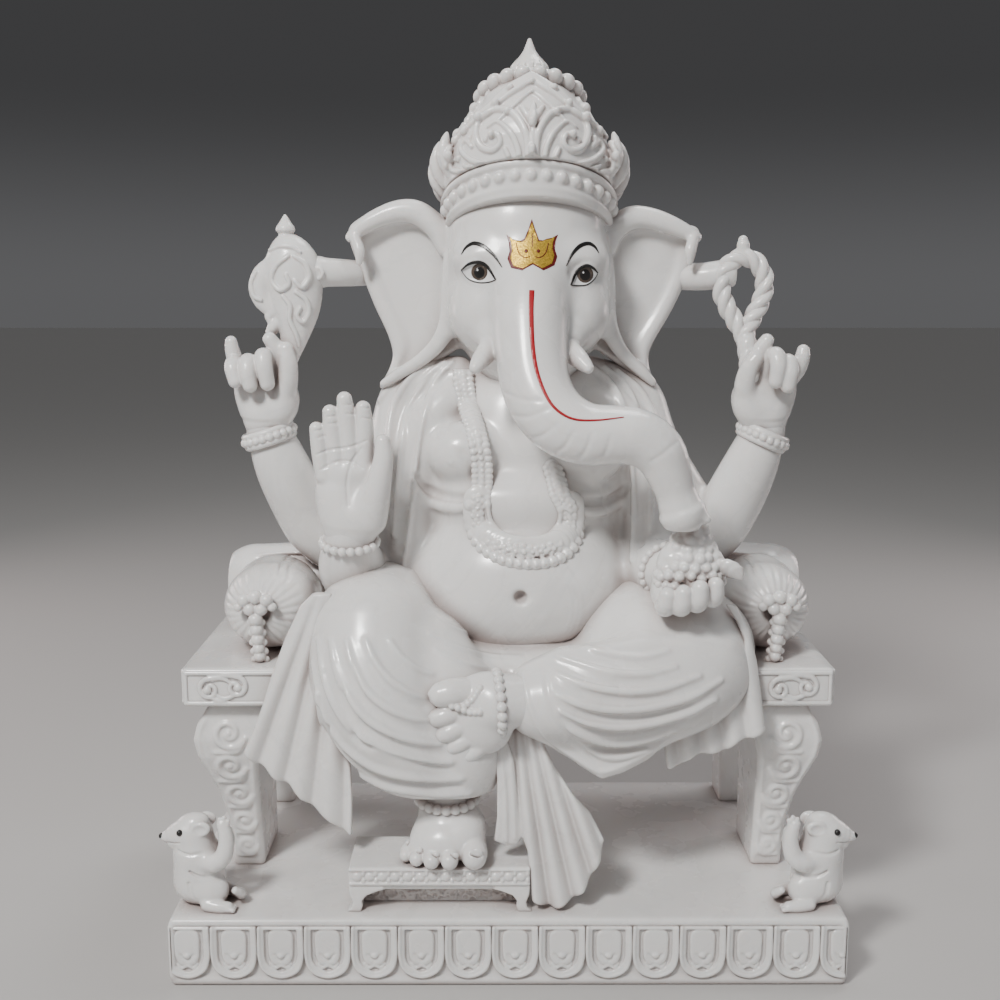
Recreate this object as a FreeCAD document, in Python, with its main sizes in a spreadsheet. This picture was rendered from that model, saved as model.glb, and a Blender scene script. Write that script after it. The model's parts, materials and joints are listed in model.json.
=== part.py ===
import FreeCAD, Part
import math
import os
import time
import Sketcher

# Carved white marble Ganesha idol on a lotus plinth.
# Frame: +Z up, -Y is the idol's front, +X is the idol's own left side.
# Origin: middle of the plinth's underside.  All lengths are millimetres.
# "right" and "left" in the names are the idol's own right (-X) and left (+X).

V = FreeCAD.Vector
doc = FreeCAD.newDocument("ganesha_idol")
sheet = doc.addObject("Spreadsheet::Sheet", "dims")
row = [0]


def cell(alias, value):
    """One driving dimension: name in column A, plain number in column B."""
    row[0] += 1
    sheet.set("A%d" % row[0], alias)
    sheet.set("B%d" % row[0], str(value))
    sheet.setAlias("B%d" % row[0], alias)


DIMS = {
    "plinth_w": 420, "plinth_dp": 220, "plinth_hh": 44, "plinth_edge": 2.5,
    "petal_pitch": 29, "petal_w": 26, "petal_low": 7.5, "petal_high": 36.5, "petal_rim": 3.4, "petal_rise": 1.8,
    "seat_w": 414, "seat_front": 64, "seat_back": 108, "seat_low": 165, "seat_thick": 25, "seat_edge": 2.5, "frieze_sink": 1.2,
    "stool_w": 113, "stool_dp": 46, "stool_mid_x": 43, "stool_mid_y": 77, "stool_low": 60, "stool_top": 73.4, "stool_foot": 13,
    "leg_inner": 164, "leg_outer": 203,
    "trunk_rad": 23.3, "tusk_rad": 7.5, "ear_thick": 13,
    "upper_arm_rad": 20.5, "forearm_rad": 19.5, "finger_rad": 6.0, "thumb_rad": 7.6, "palm_rad": 21,
    "thigh_rad": 41, "shin_rad": 37, "shin_cross_rad": 31, "foot_rad": 19,
    "belly_rad": 77, "belly_dp": 58, "head_rad": 54, "shawl_rad": 84,
    "crown_in": 47, "crown_out": 54, "bead_rad": 3.4, "dome_rad": 52, "finial_rad": 12.4,
    "bracelet_rad": 3.4, "bracelet_run": 21, "cushion_rad": 33, "bolster_rad": 29,
    "noose_rad": 5.6, "strut_rad": 9.6, "axe_rad": 18, "necklace_w": 8, "mouse_rad": 17, "drape_thick": 9,
    "sweet_rad": 7.5,
}
for k, v in DIMS.items():
    cell(k, v)
doc.recompute()

NODES = []          # (label, object) in order of priority: a later one gives way to an earlier one


def bind(obj, prop, expr):
    obj.setExpression(prop, expr)


def done(obj, label):
    obj.Label = label
    NODES.append([label, obj])
    return obj


# ---------------------------------------------------------------- PartDesign helpers
def body(name):
    return doc.addObject("PartDesign::Body", name)


def plane(b, role):
    return [f for f in b.Origin.OriginFeatures if f.Role == role][0]


def sketch(b, name, role, offset=0.0, expr=None):
    s = b.newObject("Sketcher::SketchObject", name)
    s.AttachmentSupport = [(plane(b, role), "")]
    s.MapMode = "FlatFace"
    s.AttachmentOffset = FreeCAD.Placement(V(0, 0, offset), FreeCAD.Rotation())
    if expr:
        s.setExpression("AttachmentOffset.Base.z", expr)
    return s


def poly(s, pts):
    """Closed chain of straight lines in a sketch, ends made coincident."""
    first = s.GeometryCount
    n = len(pts)
    for i in range(n):
        a, c = pts[i], pts[(i + 1) % n]
        s.addGeometry(Part.LineSegment(V(a[0], a[1], 0), V(c[0], c[1], 0)), False)
    for i in range(n):
        s.addConstraint(Sketcher.Constraint("Coincident", first + i, 2, first + (i + 1) % n, 1))
    return first


def rect(s, x0, y0, x1, y1, names=None):
    """Rectangle; names binds (left, bottom, right, top) to sheet expressions."""
    f = poly(s, [(x0, y0), (x1, y0), (x1, y1), (x0, y1)])
    s.addConstraint(Sketcher.Constraint("Horizontal", f))
    s.addConstraint(Sketcher.Constraint("Vertical", f + 1))
    s.addConstraint(Sketcher.Constraint("Horizontal", f + 2))
    s.addConstraint(Sketcher.Constraint("Vertical", f + 3))
    if names:
        for (geo, pos, kind, val), expr in zip(
            ((f, 1, "DistanceX", x0), (f, 1, "DistanceY", y0), (f + 2, 1, "DistanceX", x1), (f + 2, 1, "DistanceY", y1)), names
        ):
            c = s.addConstraint(Sketcher.Constraint(kind, -1, 1, geo, pos, val))
            if expr:
                s.setExpression("Constraints[%d]" % c, expr)
    return f


def pad(b, name, s, length, expr=None, reverse=False, kind="PartDesign::Pad"):
    p = b.newObject(kind, name)
    p.Profile = s
    p.Length = length
    if expr:
        p.setExpression("Length", expr)
    p.Reversed = reverse
    return p


def arc3(a, m, c):
    return Part.Arc(V(a[0], a[1], 0), V(m[0], m[1], 0), V(c[0], c[1], 0))


def petal(s, cx, w, lo, hi, rim):
    """One lotus petal: a U-shaped raised rim and a tongue inside it."""
    h = w / 2.0
    g = []
    g.append(Part.LineSegment(V(cx - h, hi, 0), V(cx - h, lo + h * 0.75, 0)))
    g.append(arc3((cx - h, lo + h * 0.75), (cx, lo), (cx + h, lo + h * 0.75)))
    g.append(Part.LineSegment(V(cx + h, lo + h * 0.75, 0), V(cx + h, hi, 0)))
    g.append(Part.LineSegment(V(cx + h, hi, 0), V(cx + h - rim, hi, 0)))
    g.append(Part.LineSegment(V(cx + h - rim, hi, 0), V(cx + h - rim, lo + h * 0.85, 0)))
    g.append(arc3((cx + h - rim, lo + h * 0.85), (cx, lo + rim * 1.4), (cx - h + rim, lo + h * 0.85)))
    g.append(Part.LineSegment(V(cx - h + rim, lo + h * 0.85, 0), V(cx - h + rim, hi, 0)))
    g.append(Part.LineSegment(V(cx - h + rim, hi, 0), V(cx - h, hi, 0)))
    s.addGeometry(g, False)
    q = w * 0.19
    t = lo + rim * 1.4 + 4.2
    g = [
        Part.LineSegment(V(cx - q, hi - 2, 0), V(cx - q, t + q, 0)),
        arc3((cx - q, t + q), (cx, t), (cx + q, t + q)),
        Part.LineSegment(V(cx + q, t + q, 0), V(cx + q, hi - 2, 0)),
        Part.LineSegment(V(cx + q, hi - 2, 0), V(cx - q, hi - 2, 0)),
    ]
    s.addGeometry(g, False)


def edges_at(shape, test):
    return ["Edge%d" % (i + 1) for i, e in enumerate(shape.Edges) if test(e)]


# ---------------------------------------------------------------- plinth with its lotus frieze
b = body("plinth_body")
s = sketch(b, "plinth_outline", "XY_Plane")
rect(s, -210, -110, 210, 110, ("-dims.plinth_w / 2", "-dims.plinth_dp / 2", "dims.plinth_w / 2", "dims.plinth_dp / 2"))
pad(b, "plinth_block", s, 44, "dims.plinth_hh")
doc.recompute()
base = b.Tip
f = b.newObject("PartDesign::Fillet", "plinth_round")
f.Base = (base, edges_at(base.Shape, lambda e: e.BoundBox.ZMax > 1))
f.Radius = 2.5
bind(f, "Radius", "dims.plinth_edge")
for side, role, half, out, flip in (("front", "XZ_Plane", 210, 110, False), ("back", "XZ_Plane", 210, 110, True), ("left", "YZ_Plane", 110, 210, False), ("right", "YZ_Plane", 110, 210, True)):
    dim = "dims.plinth_dp / 2" if role == "XZ_Plane" else "dims.plinth_w / 2"
    s = sketch(b, "frieze_sink_" + side, role, -out if flip else out, ("-" if flip else "") + dim)
    rect(s, -half + 3, 5.5, half - 3, 38.5)
    pad(b, "frieze_band_" + side, s, 2.0, None, flip, "PartDesign::Pocket")
    n = 14 if half == 210 else 7
    s = sketch(b, "petal_outline_" + side, role, -(out - 2) if flip else out - 2, ("-(" if flip else "(") + dim + " - 2)")
    start = -(n - 1) / 2.0 * 29
    petal(s, start, 26, 7.5, 36.5, 3.4)
    petal_pad = pad(b, "petal_" + side, s, 1.8, "dims.petal_rise", flip)
    doc.recompute()
    pat = b.newObject("PartDesign::LinearPattern", "petal_row_" + side)
    pat.Originals = [petal_pad]
    pat.Direction = (s, ["H_Axis"])
    pat.Length = 29.0 * (n - 1)
    pat.setExpression("Length", "dims.petal_pitch * %d" % (n - 1))
    pat.Occurrences = n
    b.Tip = pat
    doc.recompute()
done(b, "plinth")

# ---------------------------------------------------------------- throne
b = body("seat_body")
s = sketch(b, "seat_outline", "XY_Plane", 165, "dims.seat_low")
rect(s, -207, -64, 207, 108, ("-dims.seat_w / 2", "-dims.seat_front", "dims.seat_w / 2", "dims.seat_back"))
pad(b, "seat_slab", s, 25, "dims.seat_thick")
doc.recompute()
base = b.Tip
f = b.newObject("PartDesign::Fillet", "seat_round")
f.Base = (base, edges_at(base.Shape, lambda e: True))
f.Radius = 2.5
bind(f, "Radius", "dims.seat_edge")
for side, role, half, out, flip in (("front", "XZ_Plane", 207, 64, False), ("left", "YZ_Plane", 0, 207, False), ("right", "YZ_Plane", 0, 207, True)):
    dim = "dims.seat_front" if side == "front" else "dims.seat_w / 2"
    s = sketch(b, "seat_frieze_" + side, role, -out if flip else out, ("-" if flip else "") + dim)
    if side == "front":
        rect(s, -203, 168.5, 203, 186.5)
    else:
        rect(s, -60, 168.5, 104, 186.5)
    pad(b, "seat_frieze_cut_" + side, s, 1.2, "dims.frieze_sink", flip, "PartDesign::Pocket")
    doc.recompute()
done(b, "throne_seat")


def throne_leg(label, sign, rear):
    """Bow-fronted leg: a loft through six rectangles, one above the other."""
    b = body(label + "_body")
    if rear:
        rows = [(44, 161, 184, 70, 103), (80, 161, 191, 70, 104), (115, 160, 199, 70, 105), (140, 159, 203, 69, 106), (155, 155, 199, 69, 106), (165, 150, 192, 70, 105)]
    else:
        rows = [(44, 164, 186, -38, 19), (80, 164, 192, -42, 19), (115, 163, 200, -49, 19), (140, 161, 203, -55, 19), (155, 156, 199, -57, 19), (165, 150, 192, -56, 19)]
    made = []
    for i, (z, xi, xo, y0, y1) in enumerate(rows):
        s = sketch(b, "%s_level_%d" % (label, i), "XY_Plane", z)
        lo, hi = ("(dims.leg_inner - %g)" % (164 - xi), "(dims.leg_outer - %g)" % (203 - xo))
        if sign > 0:
            rect(s, xi, y0, xo, y1, (lo, None, hi, None))
        else:
            rect(s, -xo, y0, -xi, y1, ("-" + hi, None, "-" + lo, None))
        made.append(s)
    lf = b.newObject("PartDesign::AdditiveLoft", label + "_loft")
    lf.Profile = made[0]
    lf.Sections = made[1:]
    lf.Ruled = False
    doc.recompute()
    done(b, label)


throne_leg("throne_leg_front_right", -1, False)
throne_leg("throne_leg_front_left", 1, False)
throne_leg("throne_leg_rear_right", -1, True)
throne_leg("throne_leg_rear_left", 1, True)

# ---------------------------------------------------------------- footstool: slab, solid back, two bracket feet
b = body("stool_body")
s = sketch(b, "stool_outline", "XY_Plane", 60, "dims.stool_low")
x0, x1, y0, y1 = -43 - 56.5, -43 + 56.5, -77 - 23, -77 + 23
rect(s, x0, y0, x1, y1, ("-dims.stool_mid_x - dims.stool_w / 2", "-dims.stool_mid_y - dims.stool_dp / 2", "-dims.stool_mid_x + dims.stool_w / 2", "-dims.stool_mid_y + dims.stool_dp / 2"))
pad(b, "stool_slab", s, 13.4, "dims.stool_top - dims.stool_low")
s = sketch(b, "stool_block_outline", "XY_Plane", 60, "dims.stool_low")
rect(s, x0 + 4, y0 + 14, x1 - 4, y1)
pad(b, "stool_block", s, 16, "dims.stool_low - dims.plinth_hh", True)
s = sketch(b, "stool_foot_outline", "XZ_Plane", 99, "dims.stool_mid_y + dims.stool_dp / 2 - 1")
for sgn, xe in ((1, x0), (-1, x1)):
    poly(s, [(xe, 60.5), (xe + sgn * 24, 60.5), (xe + sgn * 24, 58.5), (xe + sgn * 15, 57.5), (xe + sgn * 10, 52.5), (xe + sgn * 8, 44), (xe, 44), (xe + sgn * 2, 52)])
pad(b, "stool_feet", s, 14, "dims.stool_foot + 1", True)
doc.recompute()
base = b.Tip
f = b.newObject("PartDesign::Chamfer", "stool_edge")
f.Base = (base, edges_at(base.Shape, lambda e: abs(e.BoundBox.ZMin - 73.4) < 0.01 and abs(e.BoundBox.ZMax - 73.4) < 0.01))
f.Size = 1.0
doc.recompute()
done(b, "footstool")

# ---------------------------------------------------------------- loft helpers for the carved figure
def frame_rot(t, ref):
    z = V(*t).normalize()
    x = V(*ref)
    x = x - z * x.dot(z)
    if x.Length < 1e-3:
        x = V(0, 1, 0) - z * z.y
    x.normalize()
    y = z.cross(x)
    return FreeCAD.Rotation(x, y, z, "ZXY")


def section(name, p, t, ref, r, alias, flat=1.0):
    """A round or oval section; its size is a share of the named cell."""
    k = r / float(DIMS[alias])
    if flat >= 0.999:
        o = doc.addObject("Part::Circle", name)
        o.Radius = r
        o.setExpression("Radius", "dims.%s * %.5f" % (alias, k))
    else:
        o = doc.addObject("Part::Ellipse", name)
        o.MajorRadius = r
        o.MinorRadius = r * flat
        o.setExpression("MajorRadius", "dims.%s * %.5f" % (alias, k))
        o.setExpression("MinorRadius", "dims.%s * %.5f" % (alias, k * flat))
    o.Placement = FreeCAD.Placement(V(*p), frame_rot(t, ref))
    return o


def limb(name, pts, alias, ref=(1, 0, 0), flat=1.0, caps=(False, True), ruled=False):
    """A loft through round or oval sections along a path of (x, y, z, r) or (x, y, z, r, flat)."""
    P = [V(*q[:3]) for q in pts]
    T = []
    for i in range(len(P)):
        a, c = P[max(0, i - 1)], P[min(len(P) - 1, i + 1)]
        T.append((c - a).normalize())
    secs = []
    if caps[0]:
        r = pts[0][3]
        secs.append((P[0] - T[0] * r * 0.55, T[0], r * 0.42, 0))
        secs.append((P[0] - T[0] * r * 0.34, T[0], r * 0.80, 0))
    for i, q in enumerate(pts):
        secs.append((P[i], T[i], q[3], i))
    if caps[1]:
        r = pts[-1][3]
        secs.append((P[-1] + T[-1] * r * 0.34, T[-1], r * 0.80, len(pts) - 1))
        secs.append((P[-1] + T[-1] * r * 0.55, T[-1], r * 0.42, len(pts) - 1))
    objs = []
    for i, (p, t, r, k) in enumerate(secs):
        fl = pts[k][4] if len(pts[k]) > 4 else flat
        objs.append(section("%s_s%d" % (name, i), (p.x, p.y, p.z), (t.x, t.y, t.z), ref, r, alias, fl))
    lf = doc.addObject("Part::Loft", name)
    lf.Sections = objs
    lf.Solid = True
    lf.Ruled = ruled
    return lf


def stack(name, rows, alias):
    """A loft through ovals in level planes; rows are (z, cx, cy, rx, ry) with rx at least ry."""
    objs = []
    for i, (z, cx, cy, rx, ry) in enumerate(rows):
        o = doc.addObject("Part::Ellipse", "%s_s%d" % (name, i))
        swap = ry > rx
        big, small = (ry, rx) if swap else (rx, ry)
        o.MajorRadius = big + 0.001
        o.MinorRadius = small
        o.setExpression("MajorRadius", "dims.%s * %.5f" % (alias, (big + 0.001) / DIMS[alias]))
        o.setExpression("MinorRadius", "dims.%s * %.5f" % (alias, small / DIMS[alias]))
        o.Placement = FreeCAD.Placement(V(cx, cy, z), FreeCAD.Rotation(V(0, 0, 1), 90 if swap else 0))
        objs.append(o)
    lf = doc.addObject("Part::Loft", name)
    lf.Sections = objs
    lf.Solid = True
    lf.Ruled = False
    return lf


def folds(name, rows, ruled=True):
    """A pleated hanging cloth: a ruled loft through closed wavy outlines, each a list of points."""
    objs = []
    for i, pts in enumerate(rows):
        o = doc.addObject("Part::Feature", "%s_s%d" % (name, i))
        o.Shape = Part.makePolygon([V(*p) for p in pts] + [V(*pts[0])])
        objs.append(o)
    lf = doc.addObject("Part::Loft", name)
    lf.Sections = objs
    lf.Solid = True
    lf.Ruled = ruled
    return lf


def fuse(name, parts):
    o = doc.addObject("Part::MultiFuse", name)
    o.Shapes = parts
    return o


def egg(name, c, rx, ry, rz, rot=None, alias=None):
    o = doc.addObject("Part::Ellipsoid", name)
    o.Radius1, o.Radius2, o.Radius3 = rz, rx, ry
    o.Angle1, o.Angle2, o.Angle3 = -90, 90, 360
    if alias:
        o.setExpression("Radius2", "dims.%s * %.5f" % (alias, rx / DIMS[alias]))
        o.setExpression("Radius3", "dims.%s * %.5f" % (alias, ry / DIMS[alias]))
        o.setExpression("Radius1", "dims.%s * %.5f" % (alias, rz / DIMS[alias]))
    o.Placement = FreeCAD.Placement(V(*c), rot or FreeCAD.Rotation())
    return o


def ball(name, c, r, alias):
    o = doc.addObject("Part::Sphere", name)
    o.Radius = r
    o.setExpression("Radius", "dims.%s * %.5f" % (alias, r / DIMS[alias]))
    o.Placement = FreeCAD.Placement(V(*c), FreeCAD.Rotation())
    return o


def links(name, pts, alias, plump=1.25):
    """A finger or toe: one egg along each joint-to-joint link."""
    out = []
    for i in range(len(pts) - 1):
        a, c = V(*pts[i][:3]), V(*pts[i + 1][:3])
        r = 0.5 * (pts[i][3] + pts[i + 1][3])
        d = c - a
        out.append(egg("%s_%d" % (name, i), tuple((a + c) * 0.5), r * 1.06, r * 1.06, d.Length / 2 + r * plump, frame_rot((d.x, d.y, d.z), (1, 0, 0.01)), alias))
    return out


def slab(name, pts, alias, ref, flat):
    """A palm or sole: one broad flattened egg along each link."""
    out = []
    for i in range(len(pts) - 1):
        a, c = V(*pts[i][:3]), V(*pts[i + 1][:3])
        r = 0.5 * (pts[i][3] + pts[i + 1][3])
        d = c - a
        out.append(egg("%s_%d" % (name, i), tuple((a + c) * 0.5), r, r * flat, d.Length / 2 + r * 0.8, frame_rot((d.x, d.y, d.z), ref), alias))
    return out


# ---------------------------------------------------------------- torso, legs
torso = fuse("torso_forms", [
    egg("belly", (7.5, 1, 238), 77, 58, 56, None, "belly_rad"),
    egg("waist", (9, 8, 272), 66, 49, 46, None, "belly_rad"),
    egg("chest", (12, 12, 324), 62, 44, 54, None, "belly_rad"),
    egg("breast_right", (-20, -10, 318), 25, 21, 22, None, "belly_rad"),
    egg("breast_left", (44, -10, 318), 25, 21, 22, None, "belly_rad"),
])


def half_space(name, y0, y1):
    """A box that takes away everything between two upright planes."""
    o = doc.addObject("Part::Box", name)
    o.Length, o.Width, o.Height = 240, y1 - y0, 230
    o.Placement = FreeCAD.Placement(V(-110, y0, 170), FreeCAD.Rotation())
    return o


tf = doc.addObject("Part::Cut", "torso_front")
tf.Base, tf.Tool = torso, half_space("torso_back_limit", 26, 120)
under = doc.addObject("Part::Box", "seat_plane")
under.Length, under.Width, under.Height = 240, 160, 60
under.Placement = FreeCAD.Placement(V(-110, -100, 130), FreeCAD.Rotation())
tb = doc.addObject("Part::Cut", "torso_on_seat")
tb.Base, tb.Tool = tf, under
done(tb, "torso")

done(limb("hanging_leg_loft", [
    (-47, 30, 222, 32), (-60, 5, 222, 37), (-74, -22, 218, 40), (-84, -48, 212, 41), (-87, -62, 198, 41), (-82, -70, 180, 39), (-70, -74, 160, 38), (-56, -76, 140, 33), (-46, -76, 124, 25)], "thigh_rad", (1, 0, 0), caps=(True, False)), "hanging_leg")

done(links("folded_thigh_egg", [(58, 14, 214, 39), (118, -42, 195, 37)], "thigh_rad", 0.85)[0], "folded_thigh")
done(fuse("folded_shin_forms", [
    egg("knee_egg", (117, -57, 187), 34, 29, 30, None, "thigh_rad"),
    links("calf_egg", [(112, -66, 182, 30), (58, -82, 177, 28)], "thigh_rad", 0.85)[0],
    links("cuff_egg", [(60, -83, 177, 25), (28, -87, 177, 23)], "thigh_rad", 0.75)[0]]), "folded_shin")

# ---------------------------------------------------------------- head, trunk, tusks, ears
done(stack("head_loft", [
    (374.5, 13, 2, 26, 24), (382, 13, -3, 37, 32), (395, 13.2, -6, 45, 39), (410, 13.2, -7, 50, 43), (428, 13.3, -7, 53, 46), (446, 13.3, -7, 54, 47), (460, 13.3, -6, 52.5, 46), (472, 13.3, -5, 49, 44), (481, 13.3, -4, 43, 39)], "head_rad"), "head")
done(limb("trunk_loft", [
    (13.6, -34, 436, 24), (13.2, -50, 414.5, 23.3), (13.6, -64, 390.7, 21.5), (16.3, -76, 368.6, 21), (25.7, -84, 351.4, 20.9), (42.2, -88, 342.2, 19), (61.1, -90, 340.7, 17.5), (78.9, -90, 338.3, 16.6),
    (92.1, -90, 328.7, 14.9), (99.7, -89, 314.7, 12.8), (104.9, -88, 303.1, 11.4), (108.3, -87, 293.2, 12)], "trunk_rad", (0, 1, 0), caps=(True, False)), "trunk")
done(limb("tusk_right_loft", [(-6, -32, 399, 7.5), (-10.5, -44, 392, 7.2), (-15, -56, 385.5, 6.5), (-17, -64, 381, 5)], "tusk_rad"), "tusk_right")
done(limb("tusk_left_loft", [(36, -32, 399, 7.5), (41, -44, 391, 7.2), (44.5, -56, 384.5, 6.5), (47, -64, 380, 5)], "tusk_rad"), "tusk_left")


def ear(label, pts):
    """A fan-shaped plate with a smooth outline."""
    b = body(label + "_body")
    s = sketch(b, label + "_outline", "XZ_Plane", -12)
    c = Part.BSplineCurve()
    c.interpolate([V(x, z, 0) for x, z in pts], PeriodicFlag=True)
    s.addGeometry(c, False)
    pad(b, label + "_plate", s, 13, "dims.ear_thick")
    doc.recompute()
    done(b, label)


ear("ear_right", [(-33, 462), (-44, 476), (-62, 482.3), (-80, 480), (-95, 473), (-103.5, 465), (-102, 450), (-96, 434), (-88.5, 416), (-80, 398), (-77, 384), (-80, 374), (-85, 363), (-71.5, 367), (-52, 379), (-38, 392), (-32, 420)])
ear("ear_left", [(59, 462), (72, 474.5), (87, 477), (100, 474.5), (113, 469), (124, 465), (124, 452), (119.5, 437), (108.6, 414), (97.5, 395), (94, 384), (95, 373), (98.4, 363.6), (88, 370), (71, 381), (60, 393), (58, 420)])

# ---------------------------------------------------------------- crown, turned about its own axis and tipped a little back
CROWN = FreeCAD.Placement(V(13.3, -3, 474), FreeCAD.Rotation(V(1, 0, 0), 0))


def turned(label, pts, place, arcs=None):
    """A Revolution about the body's own Z axis from an outline in the XZ plane."""
    b = body(label + "_body")
    s = sketch(b, label + "_profile", "XZ_Plane")
    poly(s, pts)
    r = b.newObject("PartDesign::Revolution", label + "_turn")
    r.Profile = s
    r.ReferenceAxis = (s, ["V_Axis"])
    r.Angle = 360
    doc.recompute()
    return b


def polar(b, name, feature, count):
    p = b.newObject("PartDesign::PolarPattern", name)
    p.Originals = [feature]
    p.Axis = ([o for o in b.Origin.OriginFeatures if o.Role == "Z_Axis"][0], [""])
    p.Angle = 360
    p.Occurrences = count
    b.Tip = p
    doc.recompute()


b = turned("crown_band", [(46, 0), (53, 0), (55, 2.2), (53.6, 4.5), (53.6, 12.5), (56, 14.5), (57, 17), (55, 19.5), (46, 19.5)], CROWN)
sp = b.newObject("PartDesign::AdditiveSphere", "band_bead")
sp.Radius = 3.4
bind(sp, "Radius", "dims.bead_rad")
sp.Placement = FreeCAD.Placement(V(54.0, 0, 8.5), FreeCAD.Rotation())
doc.recompute()
polar(b, "band_beads", sp, 36)
b.Placement = CROWN
done(b, "crown_band")

b = turned("crown_dome", [(0, 10), (45.5, 10), (45.5, 19.6), (56, 19.6), (58.5, 24), (54, 27), (52, 32), (49.5, 40), (45, 49), (38, 58), (30, 65.5), (22, 70.5), (16, 73), (0, 73)], CROWN)
b.Placement = CROWN
done(b, "crown_dome")

b = turned("crown_crest", [(0, 73.1), (16, 73.1), (25, 71), (33, 73.5), (35, 78.5), (30, 82), (18, 83), (0, 83)], CROWN)
sp = b.newObject("PartDesign::AdditiveSphere", "crest_lobe")
sp.Radius = 4.6
sp.Placement = FreeCAD.Placement(V(32.0, 0, 77.5), FreeCAD.Rotation())
doc.recompute()
polar(b, "crest_lobes", sp, 20)
b.Placement = CROWN
done(b, "crown_crest")

b = turned("crown_finial", [(0, 83.1), (9, 83.1), (11.6, 85.5), (12.4, 88.5), (11.6, 92), (8.8, 96), (5.4, 99.5), (3.2, 103), (1.9, 107), (0.8, 109.8), (0, 110)], CROWN)
b.Placement = CROWN
done(b, "crown_finial")

# two leaf plates that flare from the crown's rim over the ears
leaves = []
for sgn, cx in ((-1, 13.3), (1, 13.3)):
    leaves.append(limb("crown_leaf_%s" % ("r" if sgn < 0 else "l"), [
        (cx + sgn * 50, 2, 478, 5, 1), (cx + sgn * 57, 3, 487, 11, 0.45), (cx + sgn * 61, 4, 497, 11, 0.4), (cx + sgn * 60.5, 4, 507, 7, 0.4), (cx + sgn * 58, 4, 513, 2.5, 0.5)], "bead_rad", (0, 1, 0), caps=(False, False)))
lv = doc.addObject("Part::Compound", "crown_leaves_pair")
lv.Links = leaves
done(lv, "crown_leaves")

# ---------------------------------------------------------------- cushions
b = body("bolster_body")
s = sketch(b, "bolster_profile", "XY_Plane", 219)
poly(s, [(-190, 52), (-192, 60), (-193, 66), (-186, 78), (-160, 81), (-60, 79), (60, 79), (165, 81), (194, 78), (201, 66), (200, 60), (198, 52)])
r = b.newObject("PartDesign::Revolution", "bolster_turn")
g = s.addGeometry(Part.LineSegment(V(-205, 52, 0), V(215, 52, 0)), True)
r.Profile = s
r.ReferenceAxis = (s, ["Axis0"])
r.Angle = 360
doc.recompute()
done(b, "back_bolster")


def cushion(label, sgn, cx):
    """A fat round cushion lying front to back, gathered into a knot at its front end."""
    b = body(label + "_body")
    s = sketch(b, label + "_profile", "XY_Plane", 220)
    rows = [(-43, 4), (-41, 12), (-36, 20), (-26, 26.5), (-10, 29.6), (10, 29.6), (24, 27), (24, 0), (-43, 0)]
    pts = [(sgn * cx + sgn * -r, y) for y, r in rows] if False else [(sgn * cx + r, y) for y, r in rows]
    poly(s, pts)
    s.addGeometry(Part.LineSegment(V(sgn * cx, -60, 0), V(sgn * cx, 60, 0)), True)
    r = b.newObject("PartDesign::Revolution", label + "_turn")
    r.Profile = s
    r.ReferenceAxis = (s, ["Axis0"])
    r.Angle = 360
    doc.recompute()
    done(b, label)


cushion("side_cushion_right", -1, 158)
cushion("side_cushion_left", 1, 170)

for label, cx in (("cushion_tassel_right", -168), ("cushion_tassel_left", 180)):
    b = turned(label, [(0, 0), (5.5, 0), (6.2, 3), (5, 6.5), (6, 10), (4.8, 14), (5.8, 18), (4.2, 21), (7.5, 24), (8.5, 28), (6.5, 32), (0, 34)], None)
    b.Placement = FreeCAD.Placement(V(cx, -48.5, 190.2), FreeCAD.Rotation())
    done(b, label)

# ---------------------------------------------------------------- rear arms, their hands and what they hold
done(limb("axe_upper_arm_loft", [(-38, 26, 350, 17), (-61, 30, 335, 20.6), (-92, 33, 300, 20.2), (-114, 28, 270, 19.5)], "upper_arm_rad"), "axe_upper_arm")
done(limb("axe_forearm_loft", [(-124, 22, 254, 19), (-137, 14, 275, 19.2), (-146.6, 6, 300.6, 18.9), (-154.5, 1, 323, 17.4), (-158.5, 0, 334, 15)], "forearm_rad", caps=(True, False)), "axe_forearm")
done(limb("noose_upper_arm_loft", [(64, 26, 350, 17), (80, 30, 335, 20.6), (108, 33, 298, 20.6), (130, 28, 268, 20)], "upper_arm_rad"), "noose_upper_arm")
done(limb("noose_forearm_loft", [(139, 22, 256, 19.5), (149, 14, 277, 20.2), (158, 6, 300.5, 19.4), (166, 1, 322, 17.4), (169.6, 0, 333, 14.6)], "forearm_rad", caps=(True, False)), "noose_forearm")


def hand(label, palm, palm_ref, flat, fingers, thumb):
    parts = slab(label + "_palm", palm, "palm_rad", palm_ref, flat)
    for i, f in enumerate(fingers):
        parts += links("%s_finger_%d" % (label, i), f, "finger_rad")
    parts += links(label + "_thumb", thumb, "thumb_rad")
    return fuse(label + "_all", parts)


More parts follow.
